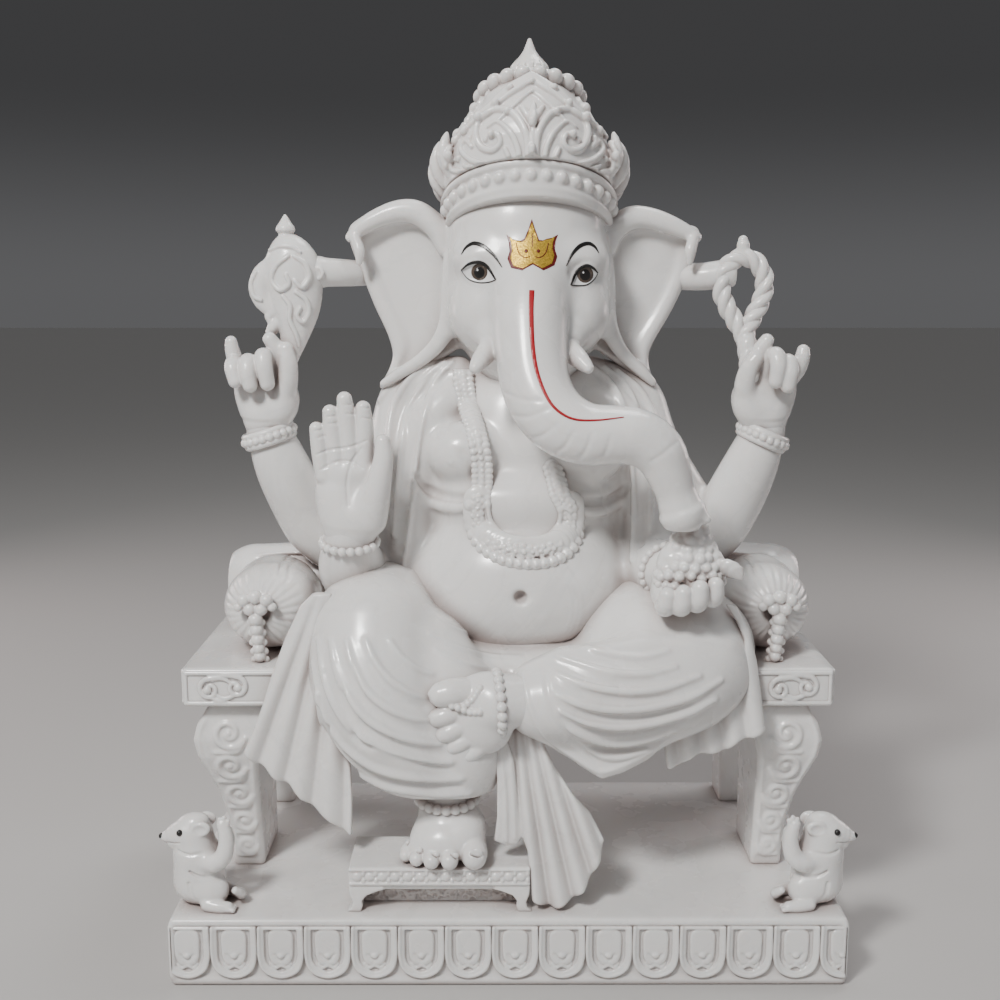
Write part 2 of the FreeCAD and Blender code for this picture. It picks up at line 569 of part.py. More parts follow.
done(hand("axe_hand", [(-158.8, 0, 334.2, 14.5), (-159.6, -1, 346, 18.5), (-159.6, -3, 358, 20.5), (-158, -5, 370, 18)], (1, 0, 0), 0.62, [
    [(-171, -4, 366, 5.6), (-176, -8, 378, 5.4), (-178, -12, 388, 5)],
    [(-163, -6, 372, 5.8), (-166, -16, 386, 5.6), (-165, -19, 372, 5.2)],
    [(-155, -6, 374, 5.8), (-156, -17, 392, 5.6), (-153, -18, 377, 5.2)],
    [(-149, -3, 372, 5.8), (-146, -9, 392, 5.6), (-147, -8, 401, 5)],
], [(-148, -6, 352, 7), (-142, -12, 368, 7), (-142.5, -14, 382, 5.6)]), "axe_hand")
done(hand("noose_hand", [(169.8, 0, 333.2, 14.2), (169.6, -1, 345, 18), (169, -3, 357, 20), (168, -5, 368, 17.5)], (1, 0, 0), 0.62, [
    [(184, -4, 362, 5.4), (189, -12, 374, 5.4), (188, -15, 364, 5)],
    [(176, -6, 370, 5.8), (177, -17, 384, 5.6), (176, -19, 370, 5.2)],
    [(167, -6, 372, 5.8), (168, -17, 388, 5.6), (166, -18, 374, 5.2)],
    [(160, -3, 368, 5.8), (158, -10, 384, 5.6), (163, -12, 396, 5)],
], [(158, -6, 350, 7), (153, -12, 364, 7), (156, -15, 378, 5.6)]), "noose_hand")

done(limb("axe_loft", [(-146, -4, 366, 5), (-143.5, -3, 378, 6), (-141, -2, 392, 8.5), (-139, 0, 406, 12), (-138.5, 0, 424, 17), (-140, 0, 442, 18), (-143, 0, 456, 12), (-144.5, 0, 461, 7.5), (-145, 0, 466, 5.2), (-145.6, 0, 472, 2)], "axe_rad", (1, 0, 0), 0.66, caps=(False, False)), "axe")
done(limb("axe_strut_loft", [(-124, 4, 438.4, 9.8), (-110, 4, 438.4, 9.2), (-92, 5, 437.8, 10.5)], "strut_rad", (0, 0, 1), 1.0, caps=(False, False)), "axe_strut")
done(limb("noose_strut_loft", [(116, 5, 435.2, 10.5), (129.8, 4, 435.2, 9.2), (140.5, 2, 436.5, 9.2)], "strut_rad", (0, 0, 1), 1.0, caps=(False, False)), "noose_strut")

# noose: a doubled rope bent into an eye over the hand, made as two half loops that meet at the top, and a tail
eye = [(155.5, -3, 396), (151, -2.5, 403), (144.5, -2, 412.6), (139.5, -2, 423), (139, -2, 434), (143.2, -2, 443.5), (152.4, -2, 448)]
eye2 = [(152.4, -2, 448), (161.4, -2, 443.5), (165.8, -2, 434), (165.3, -2, 423), (161.5, -2, 412.6), (157.5, -2.5, 403), (156.5, -3, 396)]
n1 = limb("noose_half_r", [p + (5.6,) for p in eye], "noose_rad", (0, 1, 0), 1.0, caps=(False, False))
n2 = limb("noose_half_l", [p + (5.6,) for p in eye2], "noose_rad", (0, 1, 0), 1.0, caps=(False, False))
n3 = limb("noose_tail", [(155.6, -3, 400, 8.2), (157, -4, 388, 7), (159, -5, 377, 5.4)], "noose_rad", (0, 1, 0), 1.0, caps=(False, False))
n4 = limb("noose_tip", [(152.4, -2, 450, 4.6), (152.4, -2, 457, 4.4), (152.4, -2, 461, 2.6)], "noose_rad", (0, 1, 0), 1.0, caps=(False, False))
done(fuse("noose_all", [n1, n2, n3, n4]), "noose")

# ---------------------------------------------------------------- front arms
done(limb("blessing_upper_arm_loft", [(-42, 14, 345, 17), (-62, 14, 330, 20.4), (-80, 9, 288, 19.4), (-92, 2, 258, 20)], "upper_arm_rad"), "blessing_upper_arm")
done(limb("blessing_forearm_loft", [(-99, -8, 240, 20), (-101.6, -24, 247, 22), (-101.8, -38, 259, 20), (-101, -46, 271, 16.5)], "forearm_rad", caps=(True, False)), "blessing_forearm")
done(hand("blessing_hand", [(-99.5, -48, 274, 18), (-98.8, -50, 292, 21), (-99, -51, 318, 24)], (1, 0, 0), 0.52, [
    [(-112.5, -51, 308, 6.2), (-117.5, -52.5, 338, 5.4)],
    [(-106, -51, 314, 6.2), (-109.8, -52.5, 347, 5.6)],
    [(-98.8, -51, 316, 6.4), (-101, -52.5, 355, 5.8)],
    [(-91, -51, 312, 6.4), (-90.2, -51.5, 348, 5.8)],
], [(-88, -53, 282, 9), (-83, -57, 304, 8), (-78.8, -57, 330, 5.8)]), "blessing_hand")
done(limb("sweets_upper_arm_loft", [(68, 14, 345, 17), (82, 16, 330, 20.4), (89, 12, 292, 20.4), (92, 2, 262, 20)], "upper_arm_rad"), "sweets_upper_arm")
done(limb("sweets_forearm_loft", [(93, -8, 251, 19), (96.3, -26, 250, 19.5), (99.5, -42, 251, 17), (102, -52, 252, 14.6)], "forearm_rad", caps=(True, False)), "sweets_forearm")
done(fuse("sweets_hand_all", slab("sweets_palm", [(102, -54, 251, 16), (107, -66, 246, 19), (112, -80, 240, 17)], "palm_rad", (1, 0, 0), 0.6)
    + sum([links("sweets_finger_%d" % i, f, "finger_rad") for i, f in enumerate([
    [(97, -76, 238, 6), (96.5, -88, 239, 6), (97, -92, 247, 5.2)],
    [(107, -78, 236, 6.2), (107.5, -91, 237, 6.2), (107.5, -95, 246, 5.4)],
    [(117.5, -78, 237, 6.2), (118.5, -90, 239, 6.2), (118.5, -94, 248, 5.4)],
    [(126.5, -74, 240, 5.8), (128.5, -85, 243, 5.8), (128.5, -89, 251, 5)]])], [])), "sweets_hand")

# heap of round sweets: balls that pass into one another, on a shallow mound
heap = [egg("sweets_mound", (112, -72, 259, ), 22, 15, 17, None, "sweet_rad")]
for i, (x, y, z) in enumerate([(97, -78, 262), (107, -84, 258), (118, -84, 260), (127, -78, 263), (102, -80, 271), (113, -83, 269), (122, -79, 271), (107, -77, 279), (116, -77, 279)]):
    heap.append(ball("sweet_%d" % i, (x, y, z), 6.6, "sweet_rad"))
done(fuse("sweets_all", heap), "sweets")


def bracelet(label, c, t, run, thick, count):
    """A turned ring with a row of beads around it."""
    b = turned(label, [(run - 1.5, -thick), (run + 1.2, -thick), (run + 2.4, -thick * 0.3), (run + 2.4, thick * 0.3), (run + 1.2, thick), (run - 1.5, thick)], None)
    sp = b.newObject("PartDesign::AdditiveSphere", label + "_bead")
    sp.Radius = 2.6
    sp.Placement = FreeCAD.Placement(V(run + 2.0, 0, 0), FreeCAD.Rotation())
    doc.recompute()
    polar(b, label + "_beads", sp, count)
    b.Placement = FreeCAD.Placement(V(*c), frame_rot(t, (1, 0, 0)))
    done(b, label)


bracelet("axe_bracelet", (-157.5, 0, 332), (-0.33, -0.1, 0.94), 17.5, 3.6, 20)
bracelet("noose_bracelet", (168.6, 0, 331), (0.30, -0.1, 0.95), 17.5, 3.6, 20)
bracelet("blessing_bracelet", (-101, -46, 268), (0.05, -0.45, 0.89), 20, 2.6, 22)
bracelet("sweets_bracelet", (100, -45, 251.5), (0.2, -0.97, 0.03), 18, 2.6, 20)

# ---------------------------------------------------------------- feet and anklets
def foot(label, sole, toes, ref):
    parts = slab(label + "_sole", sole, "foot_rad", ref, 0.72)
    for i, t in enumerate(toes):
        parts += links("%s_toe_%d" % (label, i), t, "finger_rad", 1.2)
    return fuse(label + "_all", parts)


done(foot("planted_foot", [(-42, -68, 122, 15.5, 1.0), (-40, -70, 108, 15.5, 1.0), (-38.5, -74, 96, 17, 0.9), (-38, -80, 88, 21, 0.62), (-38, -86, 84, 22, 0.5)], [
    [(-23.5, -84, 83, 7.4), (-22.5, -95, 81.5, 7.2), (-22.5, -98.5, 80.6, 6)],
    [(-34, -86, 82, 5.2), (-34, -97, 80, 5), (-34, -100.5, 79.2, 4.4)],
    [(-42.5, -86, 82, 4.9), (-43, -96.5, 79.6, 4.8), (-43, -100, 79, 4.2)],
    [(-50.5, -84, 82, 4.7), (-51.5, -94, 79.4, 4.6), (-51.5, -97, 78.8, 4)],
    [(-57, -80, 82, 4.4), (-58.5, -89, 79.2, 4.3), (-58.5, -92, 78.8, 3.8)]], (1, 0, 0)), "planted_foot")
done(foot("crossed_foot", [(28, -88, 177, 16, 1.0), (10, -92, 177, 15, 0.95), (-4, -95, 176, 17, 0.8), (-18, -98, 172, 21, 0.6)], [
    [(-22, -99, 186, 8), (-35, -101, 185, 8.5), (-40, -101, 184.4, 7)],
    [(-24, -100, 172, 5), (-38, -102, 170, 5), (-42, -102, 169.5, 4.4)],
    [(-22, -100, 164, 4.7), (-35, -102, 161, 4.7), (-38.5, -102, 160.4, 4.2)],
    [(-20, -100, 157.5, 4.5), (-31, -102, 154, 4.5), (-34, -102, 153.4, 4)],
    [(-16, -99, 152.5, 4.2), (-25, -101, 149, 4.2), (-28, -101, 148.2, 3.8)]], (0, 0, 1)), "crossed_foot")
bracelet("planted_anklet", (-40.5, -70.5, 105), (-0.05, 0.25, 0.97), 17, 2.4, 20)
bracelet("crossed_anklet", (3, -94, 177), (-1, -0.15, 0.02), 16.5, 2.4, 20)

# ---------------------------------------------------------------- cloth
def wavy(x0, y0, x1, y1, z0, z1, n, amp, thick):
    """Outline of a pleated strip seen from above, from (x0, y0) to (x1, y1), with its lower edge running from z0 to z1."""
    front, back = [], []
    for i in range(2 * n + 1):
        k = i / (2.0 * n)
        x, y, z = x0 + (x1 - x0) * k, y0 + (y1 - y0) * k, z0 + (z1 - z0) * k
        w = amp * (1 if i % 2 else -1)
        front.append((x, y - w - thick / 2, z))
        back.append((x, y - w * 0.3 + thick / 2, z))
    return front + back[::-1]


done(folds("side_drape_right_loft", [
    wavy(-132, -64, -104, -84, 236, 236, 3, 1.2, 8), wavy(-146, -72, -106, -88, 205, 202, 3, 2.0, 8), wavy(-156, -74, -110, -84, 170, 160, 3, 2.4, 8), wavy(-164, -73, -104, -80, 140, 84, 3, 2.6, 8)]), "side_drape_right")
done(folds("side_drape_left_loft", [
    wavy(148, -66, 164, -60, 238, 236, 3, 0.8, 7), wavy(140, -74, 168, -64, 200, 200, 3, 1.6, 8), wavy(112, -82, 168, -66, 160, 172, 3, 2.0, 8), wavy(102, -76, 164, -68, 129, 152, 3, 2.4, 8)]), "side_drape_left")
done(folds("front_drape_loft", [
    wavy(-8, -86, 16, -88, 156, 156, 4, 1.4, 8), wavy(-6, -84, 26, -86, 124, 124, 4, 2.2, 8), wavy(2, -84, 44, -86, 92, 92, 4, 2.8, 8), wavy(15, -92, 58, -88, 46, 72, 4, 3.2, 8)]), "front_drape")

# shawl: the cloth over the back and shoulders, meeting the body in one upright plane
sh = stack("shawl_outer", [
    (190.4, 7, 24, 66, 44), (215, 7, 22, 80, 52), (245, 8, 20, 83, 54), (275, 9, 20, 78, 50), (305, 11, 20, 76, 46), (335, 12.5, 19, 77, 42), (352, 13, 17, 71, 37), (366, 13, 15, 54, 30), (373, 13, 14, 36, 24)], "shawl_rad")
sc = doc.addObject("Part::Cut", "shawl_open")
sc.Base, sc.Tool = sh, half_space("shawl_front_limit", -80, 26)
done(sc, "shawl")

# garland: a flat band down each side of the chest, meeting in a broad pendant
nk = limb("necklace_loop", [
    (-26, -18, 368, 8.0), (-22, -34, 350, 8.0), (-18, -43, 330, 8.0), (-17, -45, 310, 8.4), (-18.5, -48, 292, 9.5), (-14, -55, 275, 10.5), (0, -60, 265, 11), (17, -61.5, 262.5, 11.5), (33, -58, 266, 10.5), (41, -52, 280, 9.5), (39.5, -46, 296, 8.4), (36, -43, 316, 8.0), (40, -38, 340, 8.0), (46, -22, 362, 8.0)],
    "necklace_w", (1, 0, 0), 0.55, caps=(False, False))
done(nk, "necklace")


# ---------------------------------------------------------------- mice
def mouse(label, s, ox, oy):
    """A seated mouse: haunches, chest, head turned outwards, ears, raised forepaws and a tail."""
    def q(x, y, z, r):
        return (ox + s * x, oy + y, z, r)
    parts = [
        limb(label + "_trunk", [q(2, 0, 44, 15), q(2, 0, 52, 17), q(1, 0, 60, 17), q(0, 0, 72, 14.5), q(-1, 0, 82, 11)], "mouse_rad", (1, 0, 0), 1.0, caps=(False, True)),
        egg(label + "_head", (ox - s * 5, oy - 2, 92), 13.5, 9.2, 9.6, None, "mouse_rad"),
        egg(label + "_snout", (ox - s * 15, oy - 4, 90.6), 9, 5.2, 5.4, None, "mouse_rad"),
    ]
    parts += links(label + "_ear", [q(3, -3, 100, 4.2), q(4, -3, 103.5, 4.2)], "mouse_rad")
    parts += links(label + "_paw", [q(6, -10, 74, 4.6), q(15, -11, 80, 4.4), q(20, -8, 92, 4)], "mouse_rad")
    parts += links(label + "_shank", [q(8, -9, 50, 5.4), q(17, -12, 49, 4.6)], "mouse_rad")
    return fuse(label + "_all", parts)


done(mouse("mouse_right", 1, -190, -84), "mouse_right")
done(mouse("mouse_left", -1, 190, -84), "mouse_left")

doc.recompute()

# ---------------------------------------------------------------- fit the carved elements face to face
# The idol is one block, so neighbouring elements share a boundary.  Each element below gives way to
# the ones it lists, which come earlier.
FITS = [
    ("plinth", []), ("throne_seat", []), ("throne_leg_front_right", []), ("throne_leg_front_left", []),
    ("throne_leg_rear_right", []), ("throne_leg_rear_left", []), ("footstool", []),
    ("torso", []),
    ("hanging_leg", ["throne_seat", "torso"]),
    ("folded_thigh", ["throne_seat", "torso"]), ("folded_shin", ["folded_thigh", "throne_seat", "throne_leg_front_left", "torso"]),
    ("crossed_foot", ["hanging_leg", "folded_shin"]),
    ("planted_foot", ["footstool", "hanging_leg"]),
    ("head", []), ("trunk", ["head"]), ("tusk_right", ["head", "trunk"]), ("tusk_left", ["head"]),
    ("crown_band", ["head"]), ("crown_dome", []), ("crown_crest", []), ("crown_finial", []),
    ("crown_leaves", ["crown_band", "crown_dome"]),
    ("ear_right", ["head"]), ("ear_left", ["head"]),
    ("blessing_hand", []), ("sweets_hand", []), ("axe_hand", []), ("noose_hand", []),
    ("blessing_bracelet", []), ("sweets_bracelet", ["folded_thigh", "folded_shin"]),
    ("axe_bracelet", ["axe_hand"]), ("noose_bracelet", ["noose_hand"]),
    ("axe_forearm", ["axe_hand"]), ("noose_forearm", ["noose_hand"]),
    ("blessing_forearm", ["hanging_leg", "blessing_hand", "blessing_bracelet"]),
    ("sweets_forearm", ["torso", "folded_thigh", "folded_shin", "sweets_hand", "sweets_bracelet"]),
    ("axe_upper_arm", ["torso", "axe_forearm"]), ("noose_upper_arm", ["torso", "noose_forearm"]),
    ("blessing_upper_arm", ["torso", "hanging_leg", "blessing_forearm", "axe_upper_arm"]),
    ("sweets_upper_arm", ["torso", "folded_thigh", "folded_shin", "sweets_forearm", "noose_upper_arm"]),
    ("necklace", ["torso", "trunk"]),
    ("shawl", ["head", "hanging_leg", "folded_thigh", "folded_shin", "axe_upper_arm", "noose_upper_arm", "blessing_upper_arm", "sweets_upper_arm"]),
    ("planted_anklet", []), ("crossed_anklet", ["crossed_foot"]),
    ("sweets", ["sweets_hand"]),
    ("axe", ["axe_hand"]), ("axe_strut", ["ear_right", "axe"]),
    ("noose", ["noose_hand"]), ("noose_strut", ["ear_left", "noose"]),
    ("cushion_tassel_right", []), ("cushion_tassel_left", []),
    ("side_cushion_right", ["cushion_tassel_right"]), ("side_cushion_left", ["cushion_tassel_left", "folded_thigh", "folded_shin"]),
    ("back_bolster", ["torso", "shawl", "hanging_leg", "folded_thigh", "folded_shin", "side_cushion_right", "side_cushion_left"]),
    ("side_drape_right", ["hanging_leg"]),
    ("side_drape_left", ["throne_seat", "folded_thigh", "folded_shin"]),
    ("front_drape", ["footstool"]),
    ("mouse_right", []), ("mouse_left", []),
]
ORDER = [label for label, _ in FITS]
by_label = {label: obj for label, obj in NODES}
assert sorted(by_label) == sorted(ORDER), (set(by_label) ^ set(ORDER))


def solids(shape):
    """The solids of a shape without stray slivers."""
    big = max([x.Volume for x in shape.Solids] or [0])
    return [x for x in shape.Solids if x.Volume > 0.02 * big]


# A tool face that lies exactly on a seam is moved by hundredths of a millimetre.
NUDGES = [(0, 0, 0), (0.013, 0.009, 0.011), (-0.021, 0.017, -0.012), (0.05, -0.04, 0.03), (-0.11, -0.2, 0.13)]
final = {}
for label, before in FITS:
    t0 = time.time()
    obj = by_label[label]
    if [x for x in obj.State if x in ("Invalid", "Error")] or obj.Shape.isNull() or not obj.Shape.isValid():
        raise SystemExit("part %s did not build: %s" % (label, obj.State))
    obj.Label = label + "_whole"
    here, took = obj, []
    for other in before:
        for k, nudge in enumerate(NUDGES):
            tool = final[other]
            if k:
                tool = doc.addObject("Part::Compound", "%s_for_%s_%d" % (other, label, k))
                tool.Links = [final[other]]
                tool.Placement = FreeCAD.Placement(V(*nudge), FreeCAD.Rotation())
                tool.recompute()
                tool.purgeTouched()
            cut = doc.addObject("Part::Cut", "%s_less_%s" % (label, other))
            cut.Base, cut.Tool = here, tool
            cut.recompute()
            good = not ("Invalid" in cut.State or "Error" in cut.State) and not cut.Shape.isNull() and cut.Shape.isValid() and len(solids(cut.Shape)) > 0
            lost = here.Shape.Volume - sum(x.Volume for x in solids(cut.Shape)) if good else -9
            if good and 0.5 <= lost <= 0.97 * here.Shape.Volume:
                cut.purgeTouched()
                here = cut
                took.append(other + "*" * k)
                break
            doc.removeObject(cut.Name)
            if k:
                doc.removeObject(tool.Name)
            if good and -0.5 < lost < 0.5:
                break
        else:
            print("    still shared:", label, "with", other)
    here.Label = label
    final[label] = here
    print("%-24s %5.1fs %9.0f mm3 %d solids, gives way to %s" % (label, time.time() - t0, here.Shape.Volume, len(solids(here.Shape)), ",".join(took)))

for o in doc.Objects:
    if "Invalid" in o.State or "Error" in o.State:
        raise SystemExit("%s failed: %s" % (o.Label, o.State))

os.makedirs("parts", exist_ok=True)
for label in ORDER:
    shape = final[label].Shape
    keep = solids(shape)
    if shape.isNull() or not shape.isValid() or not keep:
        raise SystemExit("%s is not a valid solid" % label)
    out = keep[0] if len(keep) == 1 else Part.makeCompound(keep)
    out.exportStep("parts/%s.step" % label)
bb = Part.makeCompound([final[x].Shape for x in ORDER]).BoundBox
print("whole:", round(bb.XMin, 2), round(bb.XMax, 2), round(bb.YMin, 2), round(bb.YMax, 2), round(bb.ZMin, 2), round(bb.ZMax, 2))
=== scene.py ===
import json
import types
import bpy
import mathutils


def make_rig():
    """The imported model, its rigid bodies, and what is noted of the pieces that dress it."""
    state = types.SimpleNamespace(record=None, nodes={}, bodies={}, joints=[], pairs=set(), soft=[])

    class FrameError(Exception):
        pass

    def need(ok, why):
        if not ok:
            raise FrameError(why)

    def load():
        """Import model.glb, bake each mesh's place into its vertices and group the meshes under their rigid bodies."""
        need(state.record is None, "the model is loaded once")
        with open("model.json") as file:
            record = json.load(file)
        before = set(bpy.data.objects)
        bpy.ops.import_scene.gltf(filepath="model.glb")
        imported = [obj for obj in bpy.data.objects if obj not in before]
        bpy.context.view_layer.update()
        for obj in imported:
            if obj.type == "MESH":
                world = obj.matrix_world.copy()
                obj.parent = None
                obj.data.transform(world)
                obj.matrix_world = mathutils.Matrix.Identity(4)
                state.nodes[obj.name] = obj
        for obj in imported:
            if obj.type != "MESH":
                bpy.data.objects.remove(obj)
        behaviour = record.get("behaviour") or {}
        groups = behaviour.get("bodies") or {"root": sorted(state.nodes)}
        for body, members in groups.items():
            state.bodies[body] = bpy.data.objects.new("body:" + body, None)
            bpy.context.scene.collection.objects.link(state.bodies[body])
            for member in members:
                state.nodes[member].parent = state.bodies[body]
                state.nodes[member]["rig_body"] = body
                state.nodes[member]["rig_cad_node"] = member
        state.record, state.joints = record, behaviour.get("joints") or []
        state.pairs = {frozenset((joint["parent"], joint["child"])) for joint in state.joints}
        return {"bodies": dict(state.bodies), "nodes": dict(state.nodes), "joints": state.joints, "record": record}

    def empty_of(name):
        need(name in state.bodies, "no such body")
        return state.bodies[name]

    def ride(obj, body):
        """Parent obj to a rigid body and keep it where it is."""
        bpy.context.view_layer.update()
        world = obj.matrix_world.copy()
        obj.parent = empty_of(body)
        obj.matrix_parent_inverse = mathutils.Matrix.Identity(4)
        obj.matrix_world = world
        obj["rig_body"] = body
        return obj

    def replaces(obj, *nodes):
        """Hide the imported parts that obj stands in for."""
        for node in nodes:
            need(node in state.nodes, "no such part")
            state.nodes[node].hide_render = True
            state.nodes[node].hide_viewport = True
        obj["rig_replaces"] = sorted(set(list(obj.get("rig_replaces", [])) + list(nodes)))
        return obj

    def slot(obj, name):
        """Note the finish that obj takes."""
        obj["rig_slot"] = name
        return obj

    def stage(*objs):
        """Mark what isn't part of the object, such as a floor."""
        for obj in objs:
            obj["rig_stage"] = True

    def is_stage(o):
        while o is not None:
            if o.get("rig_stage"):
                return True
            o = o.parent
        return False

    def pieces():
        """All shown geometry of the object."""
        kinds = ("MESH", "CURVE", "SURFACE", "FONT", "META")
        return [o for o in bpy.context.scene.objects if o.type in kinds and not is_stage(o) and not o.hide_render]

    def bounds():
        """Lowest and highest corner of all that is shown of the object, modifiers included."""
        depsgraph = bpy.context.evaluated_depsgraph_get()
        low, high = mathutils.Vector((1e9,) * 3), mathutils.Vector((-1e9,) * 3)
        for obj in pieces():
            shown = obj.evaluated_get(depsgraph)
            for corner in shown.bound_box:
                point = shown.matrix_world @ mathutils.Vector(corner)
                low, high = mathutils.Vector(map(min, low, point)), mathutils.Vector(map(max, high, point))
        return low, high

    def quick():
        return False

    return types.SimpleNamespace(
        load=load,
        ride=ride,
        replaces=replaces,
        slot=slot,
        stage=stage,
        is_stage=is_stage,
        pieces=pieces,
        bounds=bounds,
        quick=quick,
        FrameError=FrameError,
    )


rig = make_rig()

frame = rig.load()

import json
import math

import bpy
import numpy as np
import openvdb as vdb
from mathutils import Matrix, Vector, geometry

BOX0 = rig.bounds()
Q = 1.6 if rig.quick() else 1.0      # coarser clay while trying things
A = np.array
F32 = np.float32

# ------------------------------------------------------------------ the camera's view, for placing carved lines
CAM, PITCH, YAW, FOC = A([-6.754, -819.335, 424.286]), 0.165, 0.002, 1237.8
FWD = A([math.sin(YAW) * math.cos(PITCH), math.cos(YAW) * math.cos(PITCH), -math.sin(PITCH)])
RIGHT = A([math.cos(YAW), -math.sin(YAW), 0.0])
UP = np.cross(RIGHT, FWD)


def ray(u, v):
    d = FWD + RIGHT * (u - 500) / FOC - UP * (v - 500) / FOC
    return d / np.linalg.norm(d)


def at(u, v, y):
    """The point seen at (u, v) that lies at depth y."""
    d = ray(u, v)
    return CAM + d * (y - CAM[1]) / d[1]


def spline(pts, step=None, n=None, closed=False):
    """Catmull-Rom curve through points of any dimension, at steps of about `step` or n spans each."""
    P = A(pts, float)
    m = len(P)
    out = []
    spans = m if closed else m - 1
    for i in range(spans):
        if closed:
            a, b, c, d = P[(i - 1) % m], P[i], P[(i + 1) % m], P[(i + 2) % m]
        else:
            b, c = P[i], P[i + 1]
            a = P[i - 1] if i else 2 * b - c
            d = P[i + 2] if i + 2 < m else 2 * c - b
        L = np.linalg.norm((c - b)[:3])
        k = n or max(1, int(math.ceil(L / step)))
        for j in range(k):
            t = j / k
            out.append(0.5 * ((2 * b) + (c - a) * t + (2 * a - 5 * b + 4 * c - d) * t * t + (3 * b - a - 3 * c + d) * t ** 3))
    if not closed:
        out.append(P[-1])
    return A(out)


def smin(a, b, k):
    if k <= 0:
        return np.minimum(a, b)
    h = np.maximum(k - np.abs(a - b), 0) / k
    return np.minimum(a, b) - h * h * (k * 0.25)


def poly2(X, Z, pts):
    """Signed distance to a closed outline, negative inside."""
    P = A(pts, F32)
    best = np.full(np.broadcast(X, Z).shape, 1e9, F32)
    inside = np.zeros(best.shape, bool)
    for i in range(len(P)):
        ax, az = P[i]
        bx, bz = P[(i + 1) % len(P)]
        ex, ez = bx - ax, bz - az
        L = ex * ex + ez * ez + 1e-12
        wx, wz = X - ax, Z - az
        t = np.clip((wx * ex + wz * ez) / L, 0, 1)
        best = np.minimum(best, (wx - ex * t) ** 2 + (wz - ez * t) ** 2)
        if abs(ez) > 1e-9:
            c = (az > Z) != (bz > Z)
            inside ^= c & (X < ex * (Z - az) / ez + ax)
    return np.where(inside, -1, 1) * np.sqrt(best)


